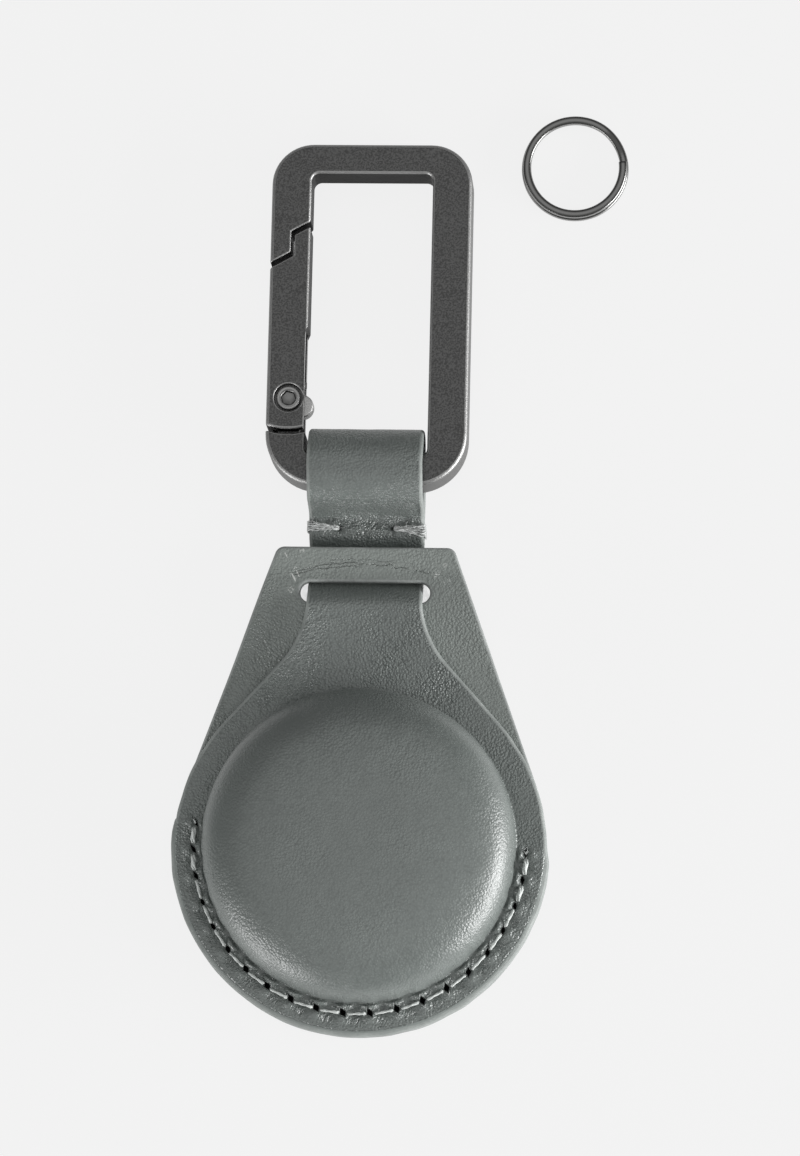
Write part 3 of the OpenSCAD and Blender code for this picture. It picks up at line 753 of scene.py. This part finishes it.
seam_thread = thread_material("seam thread", (0.28, 0.30, 0.29), (0.78, 0.81, 0.79))
thread_r, thread_z = 0.2, 2.84
back_thread_r, back_row_r, back_thread_z = 0.27, 18.6, 0.28
front_row = bmesh.new()
for i in range(stitches):
    wobble = 0.06 * noise.noise((i * 1.7, 3.0, 0.0))
    low = ease(math.sin(-(seam_start + seam_sweep * (i + 0.5) / stitches)), 0.5, 0.9)
    if i in (0, 1, stitches - 2, stitches - 1):
        for strand in range(3):
            points = []
            for s in range(21):
                t = 2 * math.pi * strand / 3 + 3.4 * s / 20
                drop = 0.5 * abs(s / 10 - 1) ** 6
                points.append(seam_point(i + 0.2 + 0.58 * s / 20, seam_r + 0.13 * math.cos(t),
                                         thread_z + 0.02 + 0.1 * math.sin(t) - drop))
            thread_tube(front_row, points, lambda s: thread_r * (1 - 0.35 * abs(2 * s - 1) ** 3),
                        plies=2, twist=1.0, sides=10, phase=strand)
        continue
    start = seam_point(i + 0.13, hole_r + wobble + 0.02 + 0.16 * low, 0)
    end = seam_point(i + 0.88, hole_r + wobble + 0.02 + 0.06 * low, 0)
    # low on the body a knot of thread shows at the end of each stitch
    thread_tube(front_row, stitch_points(start, end, thread_z), lambda s: (thread_r - 0.03 * low) * (
        1 + (0.15 + 0.35 * low) * math.exp(-((s - 0.9) / 0.06) ** 2)),
        plies=2, twist=1.1, sides=10, phase=i, flat=0.75)
for share, lean in ((0.0, -1), (float(stitches), 1)):
    for j in range(7):
        long = 0.25 + 0.5 * abs(noise.noise((j * 3.3, share, 4)))
        tip = Vector((noise.noise((j * 2.1, share, 0)) * 0.6, long, 0.45))
        root = seam_point(share - lean * 0.05, hole_r + 0.05, 2.5)
        thread_tube(front_row, [root + tip * (s / 6) for s in range(7)], lambda s: 0.09 * (1 - 0.6 * s),
                    sides=6, phase=j)
put_on(front_row, "seam_thread_front_row", [seam_thread], "holder", ["seam_thread_front"])
back_row = bmesh.new()
for i in range(stitches):
    points = [seam_point(i + 0.08 + 0.84 * s / 14, back_row_r, back_thread_z + 0.3 * abs(s / 7 - 1) ** 5)
              for s in range(15)]
    thread_tube(back_row, points, back_thread_r, phase=i * 1.3)
put_on(back_row, "seam_thread_back_row", [seam_thread], "holder", ["seam_thread_back"])

# Tacks: several passes of the same thread hold each edge of the strap to its own end underneath.
# They fan out over the edge and gather in one hole 3.4 mm inside it; cut fibres stand off them.
tack_thread = thread_material("tack thread", (0.05, 0.055, 0.052), (0.78, 0.80, 0.79))
in_edge_x, over_edge_x, tack_top_z = 6.4, 6.66, 2.56


def astray(place, seed, size):
    return Vector([size * noise.noise((place * 1.9, seed * 7.3, c * 5.1)) for c in range(3)])


for side, name in ((-1, "loop_tack_left"), (1, "loop_tack_right")):
    tack = bmesh.new()
    for j in range(7):
        fan = (j - 3) / 3 * (0.62 if side > 0 else 0.5)
        lean = -0.1 * side
        end_y = tack_y + fan + lean * 2
        places = [(tack_hole_x - 0.02, tack_y + fan * 0.15, 1.9), (tack_hole_x + 0.08, tack_y + fan * 0.2, 2.35)]
        for s in range(1, 19):
            share = s / 18
            stray = astray(share * 3, j + side, 0.2)
            places.append((tack_hole_x + 0.1 + (in_edge_x - tack_hole_x - 0.1) * share + side * stray.x,
                           tack_y + fan * (0.25 + 0.75 * share ** 1.1) + lean * share * 2 + stray.y,
                           tack_top_z + 0.1 * (j % 2) + stray.z))
        for t in (math.radians(turn) for turn in (60, 20, -20)):
            places.append((in_edge_x + 0.06 + 0.2 * math.cos(t), end_y, 2.3 + 0.26 * math.sin(t)))
        places += [(over_edge_x, end_y, z) for z in (1.9, 1.4, 0.9, 0.5)]
        # back under the strap, and up into the hole again
        places += [(in_edge_x, end_y * 0.6 + tack_y * 0.4, 0.2), (5.2, tack_y + fan * 0.5, 0.18),
                   (tack_hole_x + 0.3, tack_y + fan * 0.3, 0.2), (tack_hole_x, tack_y + fan * 0.2, 0.6)]
        thread_tube(tack, [Vector((side * x, y, z)) for x, y, z in places], 0.105,
                    plies=2, twist=1.3, sides=8, phase=j * 1.1)
    for j in range(16):
        share = 0.12 + 0.85 * j / 15
        root = Vector((side * (tack_hole_x + 3.3 * share), tack_y + (0.5 * ((j * 5) % 7) / 3 - 0.5) * share, 2.62))
        reach = Vector((side * noise.noise((j * 1.3, side, 0.5)) * 1.4,
                        noise.noise((j * 2.7, side, 3.1)) * 1.5, 0.25))
        points = [root + reach * (s / 6) + astray(s / 3, j + 20, 0.1) for s in range(7)]
        thread_tube(tack, points, lambda s: 0.035 * (1 - 0.5 * s), plies=0, sides=5)
    put_on(tack, name + "_thread", [tack_thread], "holder", [name])

# Carabiner: a flat zinc casting, plated gunmetal and bead-blasted, its outer edges buffed round.
# The frame is an open C; its nose and the lower gap leave room for the gate.
car_w, car_l, car_t = 22.8, 39.8, 4.5
side_bar_w, end_bar_w = 4.5, 3.45
low_corner_r, top_corner_r, inner_corner_r = 6.0, 4.7, 0.9
outer_round, inner_round = 0.5, 0.32
far_v, near_v = car_l - end_bar_w / 2, -end_bar_w / 2
hole_v0, hole_v1 = near_v + end_bar_w, far_v - end_bar_w
outer_u, inner_u = car_w / 2, car_w / 2 - side_bar_w
lay_down = Matrix.Translation((0, bar_y, bar_z)) @ Matrix.Rotation(-math.radians(2.7072), 4, "X")
pivot_u, pivot_v = -8.9, 8.35
nose_u, nose_v, nose_l, nose_slant = 2.7, 24.95, 2.4, math.radians(29)
gate_tail, gate_end_r, gate_gap = 3.65, 8.0, 0.55
cheek_t, web_t, channel_v, relief_t, turn_gap = 1.25, 0.7, 16.4, 0.3, 0.1
channel_h = car_t - 2 * cheek_t
eye_r, lobe_r = 1.2, 1.46
tang_t = channel_h - 2 * turn_gap
lobe = (pivot_u + lobe_r * 0.966, pivot_v - lobe_r * 0.438)
cut_over = 3.0


def gap_line(gap):
    """The joint between frame and gate, moved by gap to the frame's side: its lower arc, its nose."""
    left_u, right_u = -outer_u - 0.6, 0.6 - inner_u
    r = gate_end_r + gap
    arc = []
    # the points keep clear of the bar's sides, where a tiny facet would spoil the rounding
    for u in [left_u] + [-outer_u + 0.95 + 0.26 * i for i in range(11)] + [right_u]:
        arc.append(Vector((u, pivot_v - gate_tail + gate_end_r - math.sqrt(r * r - (u - pivot_u) ** 2))))
    slope = math.tan(nose_slant)
    step_u = -outer_u + nose_u - 0.7 * gap
    low_v = nose_v + gap / math.cos(nose_slant) - 0.7 * gap * slope
    nose = [(left_u, low_v - (step_u - left_u) * slope), (step_u, low_v), (step_u, low_v + nose_l),
            (right_u, low_v + nose_l + (right_u - step_u) * slope)]
    return arc, [Vector(p) for p in nose]


def rounded_loop(bm, half_u, v0, v1, r_low, r_top):
    """A rectangle of edges with rounded corners, in plan."""
    made = bmesh.ops.create_grid(bm, x_segments=1, y_segments=1, size=1.0)["verts"]
    for v in made:
        v.co = Vector((math.copysign(half_u, v.co.x), v1 if v.co.y > 0 else v0, 0))
    before = set(bm.verts) - set(made)
    low = [v for v in made if v.co.y < (v0 + v1) / 2]
    for r, corners in ((r_low, low), (r_top, [v for v in made if v not in low])):
        rounded_edges(bm, corners, r, 14, "VERTICES")
    bmesh.ops.delete(bm, geom=[f for f in bm.faces if not before.issuperset(f.verts)], context="FACES_ONLY")
    return [e for e in bm.edges if not before & set(e.verts)]


def raised(bm, height):
    """Makes flat faces a solid of that height."""
    made = bmesh.ops.extrude_face_region(bm, geom=bm.faces[:], use_keep_orig=True)["geom"]
    bmesh.ops.translate(bm, vec=(0, 0, height), verts=list(verts_of(made)))
    bmesh.ops.recalc_face_normals(bm, faces=bm.faces)
    return bm


def ring_blank():
    """The closed ring that frame and gate are cut from, with its roundings."""
    bm = bmesh.new()
    outer = rounded_loop(bm, outer_u, near_v, far_v, low_corner_r, top_corner_r)
    inner = rounded_loop(bm, inner_u, hole_v0, hole_v1, inner_corner_r, inner_corner_r)
    bmesh.ops.bridge_loops(bm, edges=outer + inner)
    bmesh.ops.translate(bm, vec=(0, 0, -car_t / 2), verts=bm.verts)
    raised(bm, car_t)
    rims = [e for e in bm.edges if level(e) and any(abs(f.normal.z) < 0.1 for f in e.link_faces)]
    hole = [e for e in rims if all(
        abs(v.co.x) < inner_u + 0.01 and hole_v0 - 0.01 < v.co.y < hole_v1 + 0.01 for v in e.verts)]
    rounded_edges(bm, [e for e in rims if e not in hole], outer_round, 7)
    rounded_edges(bm, hole, inner_round, 8)
    return bm


def prism(points, w0, w1):
    """A straight-sided solid over a flat outline."""
    bm = bmesh.new()
    bm.faces.new([bm.verts.new((u, v, w0)) for u, v in points])
    return raised(bm, w1 - w0)


def box(u0, u1, v0, v1, w0, w1):
    return prism([(u0, v0), (u1, v0), (u1, v1), (u0, v1)], w0, w1)


def level(e):
    return abs(e.verts[0].co.z - e.verts[1].co.z) < 0.01


def drum(u, v, r, w0, w1, soft=0.0):
    bm = bmesh.new()
    bmesh.ops.create_cone(bm, cap_ends=True, segments=64, radius1=r, radius2=r, depth=w1 - w0)
    if soft:
        rounded_edges(bm, [e for e in bm.edges if level(e)], soft, 4)
    bmesh.ops.translate(bm, vec=(u, v, (w0 + w1) / 2), verts=bm.verts)
    return bm


def carved(bm, *cuts):
    """The blank after each (operation, cutter) in turn, as a new bmesh."""
    base = solid(bm, "blank")
    tools = []
    for operation, cutter in cuts:
        tool = solid(cutter, "cutter")
        tools.append(tool)
        step = base.modifiers.new(operation, "BOOLEAN")
        step.operation = operation
        step.solver = "EXACT"
        step.object = tool
    bpy.context.view_layer.update()
    made = bmesh.new()
    made.from_object(base, bpy.context.evaluated_depsgraph_get())
    for o in [base] + tools:
        bpy.data.meshes.remove(o.data)
    made.normal_update()
    return made


def soften_joint(bm, line, width):
    """Rounds the edge all round a cut end, whose walls stand on line in plan."""
    walls = set()
    for f in bm.faces:
        middle = f.calc_center_median().xy
        for a, b in zip(line, line[1:]):
            run, off = (middle - a).dot(b - a), (middle - a).cross(b - a)
            if abs(f.normal.z) < 0.01 and abs(off) < 0.005 * (b - a).length and 0 < run < (b - a).length_squared:
                walls.add(f)
    rounded_edges(bm, [e for e in bm.edges if sum(f in walls for f in e.link_faces) == 1], width, 3)


def mark_highlight_and_shade(bm, share_of):
    """Gives each face its value: above 0 is buffing and painted highlight, below 0 is painted shade on a wall."""
    bm.normal_update()
    highlight_and_shade = bm.faces.layers.float.new("highlight_and_shade")
    for f in bm.faces:
        f[highlight_and_shade] = share_of(f)


def cast_highlight_and_shade(f):
    """Much on the outer roundings and on the lobe, none on the flats, partly real buffing and partly painted
    highlight; painted shade on the joint's walls and the inner walls.
    """
    flat = abs(f.normal.z)
    u, v = f.calc_center_median().xy
    left_bar = u < -inner_u + 0.05
    nose = left_bar and 22.6 < v < 29.4 and abs(f.normal.x) < 0.96 or 24 < v < 28 and -9.6 < u < -8.2
    lower = left_bar and 3.5 < v < 6.0 and abs(f.normal.y) > 0.5
    if math.hypot(u - lobe[0], v - lobe[1]) < lobe_r + 0.05 and u > pivot_u + 1.3:
        return 1.6
    if flat > 0.985:
        return 0.0
    if flat >= 0.1:
        return 0.75 if nose or lower else 0.85
    if nose or lower:
        return -1.0
    if abs(u) < inner_u + inner_round and hole_v0 - inner_round < v < hole_v1 + inner_round:
        return -0.5 if abs(f.normal.y) > 0.7 else -0.1
    return 0.8


def gunmetal(name, tint, roughness, speckle=1.0, painted_highlight_and_shade=False):
    """Bead-blasted dark plating: fine even speckle, a few pale worn points, satin reflections, and painted
    highlights and painted shade by each face's value.
    """
    material, shade = new_material(name)
    place = shade.node("TexCoord", out=3)
    beads = shade.mottle(place, 5200.0, 2.0, 0.6)
    broad = shade.mottle(place, 260.0, 3.0)
    tone = (beads - 0.5) * (5.5 * speckle) + 0.5 + (broad - 0.5) * 0.5
    ground = tone.colours(tuple(c * 0.7 for c in tint), tuple(c * 1.3 for c in tint))
    rough = roughness + (broad - 0.5) * 0.08 + (beads - 0.5) * 0.15
    if painted_highlight_and_shade:
        highlight_and_shade = shade.node("Attribute", {"attribute_name": "highlight_and_shade"}, out=2)
        # paler where the value is above 0: partly real buffing, partly painted highlight
        rubbed = shade.maths("MAXIMUM", highlight_and_shade, 0.0)
        ground = (rubbed * 0.6).colours(ground, (0.5, 0.5, 0.495))
        # near black painted shade on the walls in the joint and inside the ring
        ground = (0 - highlight_and_shade).step(0.0, 1.0).colours(ground, (0.02, 0.02, 0.02))
        rough = rough + rubbed * 0.06
    return finished(material, shade.node("BsdfPrincipled", sockets={
        "Base Color": ground, "Metallic": 1.0, "Roughness": rough, "Normal": beads.normal(0.00004, 0.7 * speckle),
        "Specular Tint": (0.45, 0.45, 0.45, 1)}))


def cut_ring(operation, gap, arc_round):
    """The ring's stretch on one side of the joint, its cut ends softened."""
    arc, nose = gap_line(gap)
    bm = carved(ring_blank(), (operation, prism(arc + nose[::-1], -cut_over, cut_over)))
    soften_joint(bm, arc, arc_round)
    soften_joint(bm, nose, 0.16)
    return bm


def put_casting(bm, name, body, node):
    """Marks its buffing, painted highlights and painted shade, and lets the large flat faces keep their own shading
    beside the roundings.
    """
    mark_highlight_and_shade(bm, cast_highlight_and_shade)
    for e in bm.edges:
        e.smooth = e.calc_face_angle(0.0) < math.radians(38)
    piece = put_on(bm, name, [blasted], body, [node], lay_down)
    weigh = piece.modifiers.new("flat faces stay flat", "WEIGHTED_NORMAL")
    weigh.weight = 100
    weigh.keep_sharp = True


blasted = gunmetal("blasted gunmetal", (0.105, 0.105, 0.104), 0.42, painted_highlight_and_shade=True)
put_casting(carved(
    cut_ring("DIFFERENCE", gate_gap, 0.14),
    ("UNION", box(pivot_u - eye_r, pivot_u + eye_r, pivot_v - gate_tail - 1.4, pivot_v, -tang_t / 2, tang_t / 2)),
    ("UNION", drum(pivot_u, pivot_v, eye_r, -tang_t / 2, tang_t / 2)),
    ("UNION", drum(*lobe, lobe_r - 0.12, -tang_t / 2, tang_t / 2, 0.3)),
    ("DIFFERENCE", drum(pivot_u, pivot_v, 0.85, -cut_over, cut_over))),
    "carabiner_frame_plated", "carabiner", "carabiner_frame")

# Gate: the sprung stretch of the left bar. Its lower half is hollow behind a thin outer wall, so
# that its two cheeks straddle the frame's tang, and the screw through them is its hinge.
head_d, head_h, recess_gap = 2.75, 0.6, 0.26
recess_r = head_d / 2 + recess_gap
relief_u, open_u = -inner_u - relief_t, 1 - inner_u
gate_bm = carved(
    cut_ring("INTERSECT", 0.0, 0.3),
    ("DIFFERENCE", prism([
        (relief_u, 0.5), (open_u, 0.5), (open_u, channel_v + relief_t), (-inner_u, channel_v + relief_t),
        (relief_u, channel_v - relief_t)], -cut_over, cut_over)),
    ("DIFFERENCE", box(-outer_u + web_t, open_u, pivot_v - 2 * gate_tail, channel_v,
                       -channel_h / 2, channel_h / 2)),
    ("DIFFERENCE", drum(pivot_u, pivot_v, 0.84, -cut_over, cut_over)),
    ("DIFFERENCE", drum(pivot_u, pivot_v, recess_r, car_t / 2 - head_h - 0.1, cut_over)))
bmesh.ops.remove_doubles(gate_bm, verts=gate_bm.verts, dist=0.0005)
recess_rim = [e for e in gate_bm.edges if all(
    abs(v.co.z - car_t / 2) < 0.002 and abs(math.hypot(v.co.x - pivot_u, v.co.y - pivot_v) - recess_r) < 0.004
    for v in e.verts)]
rounded_edges(gate_bm, recess_rim, 0.13, 3)
put_casting(gate_bm, "gate_plated", "gate", "gate")

# Pivot screw: turned steel, a low round head with a hexagon socket, its shank through both cheeks.
screw_steel = gunmetal("screw steel", (0.13, 0.13, 0.128), 0.36, 0.4, painted_highlight_and_shade=True)
head_z = car_t / 2 - head_h - 0.05
top_z = head_z + head_h
foot_z = 0.05 - car_t / 2
head_r, head_round, shank_r = head_d / 2, 0.24, 0.8


def turned(profile, steps):
    """A turned piece: the profile's (radius, height) points spun all the way round."""
    bm = bmesh.new()
    line = [bm.verts.new((r, 0, h)) for r, h in profile]
    for a, b in zip(line, line[1:]):
        bm.edges.new((a, b))
    bmesh.ops.spin(bm, geom=bm.verts[:] + bm.edges[:], cent=(0, 0, 0), axis=(0, 0, 1), dvec=(0, 0, 0),
                   angle=2 * math.pi, steps=steps, use_merge=True)
    bmesh.ops.remove_doubles(bm, verts=bm.verts, dist=0.001)
    return bm


screw = turned(
    [(0.0, foot_z), (shank_r - 0.06, foot_z), (shank_r, foot_z + 0.06), (shank_r, head_z), (head_r - 0.04, head_z),
     (head_r, head_z + 0.04), (head_r, top_z - 0.26)]
    + arc_points(head_r - head_round, top_z - 0.26, head_round, 15, 90, 5)
    + [(r, top_z - down) for r, down in ((1.06, 0.03), (1.02, 0.08), (0.98, 0.03), (0.92, 0.02), (0.87, 0.07))],
    48)
mouth = [e for e in screw.edges if e.is_boundary and e.verts[0].co.z > 0]


def hexagon(v, w, shrink=1.0):
    turn = math.atan2(v.co.y, v.co.x)
    inside = (turn + math.radians(12)) % math.radians(60) - math.radians(30)
    return polar(shrink * 0.75 / math.cos(inside), turn, w)


floor_edges = grow(screw, mouth, [lambda v: hexagon(v, top_z - 0.1), lambda v: hexagon(v, head_z + 0.08, 0.99),
                                  lambda v: hexagon(v, head_z + 0.02, 0.9)])
bmesh.ops.contextual_create(screw, geom=floor_edges)
bmesh.ops.recalc_face_normals(screw, faces=screw.faces)


# painted highlight on the head's rounded rim, painted shade on the hexagon socket's walls
def screw_highlight_and_shade(f):
    r = f.calc_center_median().xy.length
    return 1.0 if 0.98 < r < 1.37 else (-1.0 if r < 0.98 and f.normal.z < 0.7 else 0.4)


mark_highlight_and_shade(screw, screw_highlight_and_shade)
put_on(screw, "pivot_screw_turned", [screw_steel], "gate", ["pivot_screw"],
       lay_down @ Matrix.Translation((pivot_u, pivot_v, 0)))

# Plunger: a small turned pin with a round nose that rests on the tang's lobe, and a collar that
# the spring pushes on.
pin_off, nose_r, collar_r, stem_r = 1.0, 0.6, 0.9, 0.28
plunger_u = pivot_u + pin_off
# the nose rests on the eye or on the lobe, whichever stands higher
plunger_v = pivot_v + 0.05 + max(
    math.sqrt((nose_r + eye_r) ** 2 - pin_off ** 2),
    lobe[1] - pivot_v + math.sqrt((nose_r + lobe_r) ** 2 - (plunger_u - lobe[0]) ** 2))


def in_channel(v):
    """Stands a piece up along the gate's channel, from v."""
    return lay_down @ Matrix.Translation((plunger_u, v, 0)) @ Matrix.Rotation(math.radians(-90), 4, "X")


pin = turned(
    arc_points(0, 0, nose_r, -90, 0, 10)
    + [(collar_r - 0.04, 0.0), (collar_r, 0.05), (collar_r, 0.65), (collar_r - 0.04, 0.7), (stem_r, 0.7),
       (stem_r, 1.84), (stem_r - 0.06, 1.9), (0.0, 1.9)], 32)
bmesh.ops.recalc_face_normals(pin, faces=pin.faces)
put_on(pin, "gate_plunger_turned", [screw_steel], "plunger", ["gate_plunger"], in_channel(plunger_v))

# Spring: nickel-plated wire wound into a small compression spring, which sits in the gate's
# channel between its upper end and the plunger's collar.
# its dark colour is painted shade, as the spring sits deep in the gate's channel
spring_wire = gunmetal("spring wire", (0.09, 0.09, 0.09), 0.4, 0.2)
wire_d, coil_r, pitch, per_turn = 0.28, 0.45, 0.75, 24
spring_v0 = plunger_v + 0.75
spring_l = channel_v - 0.05 - spring_v0 - wire_d
steps = int(math.floor(2 * spring_l / pitch) / 2 * per_turn)
points = [polar(coil_r, i * 2 * math.pi / per_turn, wire_d / 2 + spring_l * i / steps) for i in range(steps + 1)]
spring = bmesh.new()
thread_tube(spring, points, wire_d / 2 / 0.84, plies=0, twist=0.0, sides=10)
spring_piece = put_on(spring, "gate_spring_wound", [spring_wire], "gate", ["gate_spring"],
                      in_channel(spring_v0))
spring_top = lay_down @ Vector((plunger_u, spring_v0 + spring_l + wire_d, 0)) * 0.001
1 - 0.8 / (spring_l + wire_d)
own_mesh(spring_piece)

# Key ring: two turns of flattened spring-steel wire, plated like the carabiner, with both ends cut
# square. It lies loose beside the holder.
ring_x, ring_y, ring_r, ring_w, ring_h = 22.9, 78.3, 6.1, 0.96, 0.72
ring_plate = gunmetal("ring plating", (0.085, 0.085, 0.083), 0.24, 0.1, painted_highlight_and_shade=True)
ring = bmesh.new()
ring_end_turn, corner = 360 + 310, 0.355
section = []
for su, sw, turn in ((1, -1, -90), (1, 1, 0), (-1, 1, 90), (-1, -1, 180)):
    section += arc_points(su * (ring_w / 2 - corner), sw * (ring_h / 2 - corner), corner, turn, turn + 90, 5)
station = ring.verts.layers.int.new("station")
start = [ring.verts.new((u, 0, w)) for u, w in section]
row = [ring.edges.new((a, b)) for a, b in zip(start, start[1:] + start[:1])]


def ring_place(v, turn):
    """The wire's section after turn degrees; it climbs and draws in where it meets its first end."""
    u, w = section[v[station]]
    rise = (ring_h + 0.05) * ease(turn, 310, 360)
    centre = ring_r - ring_w / 2 - 0.14 * ease(turn, 290, 360)
    return Vector((ring_x, ring_y, 0)) + polar(centre + u, math.radians(58 + turn), ring_h / 2 + rise + w)


for i, v in enumerate(start):
    v[station] = i
    v.co = ring_place(v, 0)
end = grow(ring, row, [lambda v, turn=turn: ring_place(v, turn) for turn in range(3, ring_end_turn + 1, 3)])
bmesh.ops.contextual_create(ring, geom=row)
bmesh.ops.contextual_create(ring, geom=end)
bmesh.ops.recalc_face_normals(ring, faces=ring.faces)
# painted highlights and shade in stripes along the wire, set by how each face is turned
mark_highlight_and_shade(ring, lambda f: 1.3 * (1 - ease(abs(f.normal.z), 0.5, 0.8)) + 0.45 * ease(abs(f.normal.z), 0.98, 1.0))
put_on(ring, "key_ring_split", [ring_plate], "key_ring", ["key_ring"])

# Studio: a pale table under a sky that is bright overhead and dim at the sides, and two low soft
# lamps, to the viewer's right and lower left, which light the slopes that face them.
table = bmesh.new()
bmesh.ops.create_grid(table, x_segments=1, y_segments=1, size=3.0)
floor = solid(table, "studio_floor")
material, shade = new_material("pale table")
seen, glossy, through = (
    shade.node("LightPath", out=ray) for ray in ("Is Camera Ray", "Is Glossy Ray", "Is Transmission Ray"))
matt = shade.node("BsdfDiffuse", sockets={"Color": (0.86, 0.86, 0.86, 1)})
glow = shade.node("Emission", sockets={"Color": (0.9, 0.9, 0.9, 1), "Strength": 1.0})
shown = shade.maths("MAXIMUM", shade.maths("MAXIMUM", seen, glossy), through)
# deep in the joint of the gate the table is hidden from the sky, and an occlusion mask turns its glow off there:
# painted shade
open_sky = shade.node("AmbientOcclusion", {"samples": 16}, {"Distance": 0.008}, out=1).step(0.0, 0.05)
finished(material, shade.node("MixShader", sockets={0: shown * open_sky * 0.93, 1: matt, 2: glow}))
floor.data.materials.append(material)

world = bpy.data.worlds.new("studio")
bpy.context.scene.world = world
world.use_nodes = True
sky = Shade(world.node_tree)
up = sky.maths("MAXIMUM", sky.node("SeparateXYZ", sockets={0: sky.node("TexCoord")}, out=2), 0.0)
backdrop = world.node_tree.nodes["Background"]
backdrop.inputs[0].default_value = (1, 1, 1, 1)
world.node_tree.links.new((up * up * up * 0.74 + 0.2).socket, backdrop.inputs[1])


def lamp(name, place, size, power):
    """A soft lamp that faces the middle of the dome's foot."""
    light = bpy.data.lights.new(name, "AREA")
    light.shape = "RECTANGLE"
    light.size, light.size_y = size
    light.energy = power
    made = bpy.data.objects.new(name, light)
    made.location = place
    made.rotation_euler = (-Vector(place)).to_track_quat("-Z", "Y").to_euler()
    bpy.context.scene.collection.objects.link(made)


lamp("lamp_right", (0.56, -0.13, 0.1), (0.5, 0.16), 5.9)
lamp("lamp_left", (-0.39, -0.40, 0.1), (0.26, 0.15), 1.9)

camera = bpy.data.cameras.new("photo view")
camera.sensor_width = 36
camera.lens = 166.0
camera.clip_start = 0.01
viewer = bpy.data.objects.new("photo view", camera)
view_from = Vector((0.04162, -0.0635, 0.5944))
view_at = Vector((0.00395, 0.03037, 0.003))
back = (view_from - view_at).normalized()
right = Vector((0, 1, 0)).cross(back).normalized()
upright = Matrix((right, back.cross(right), back)).transposed()
viewer.rotation_euler = (upright @ Matrix.Rotation(math.radians(1.15), 3, "Z")).to_euler()
viewer.location = view_from
bpy.context.scene.collection.objects.link(viewer)
bpy.context.scene.camera = viewer
bpy.context.scene.view_settings.view_transform = "Standard"
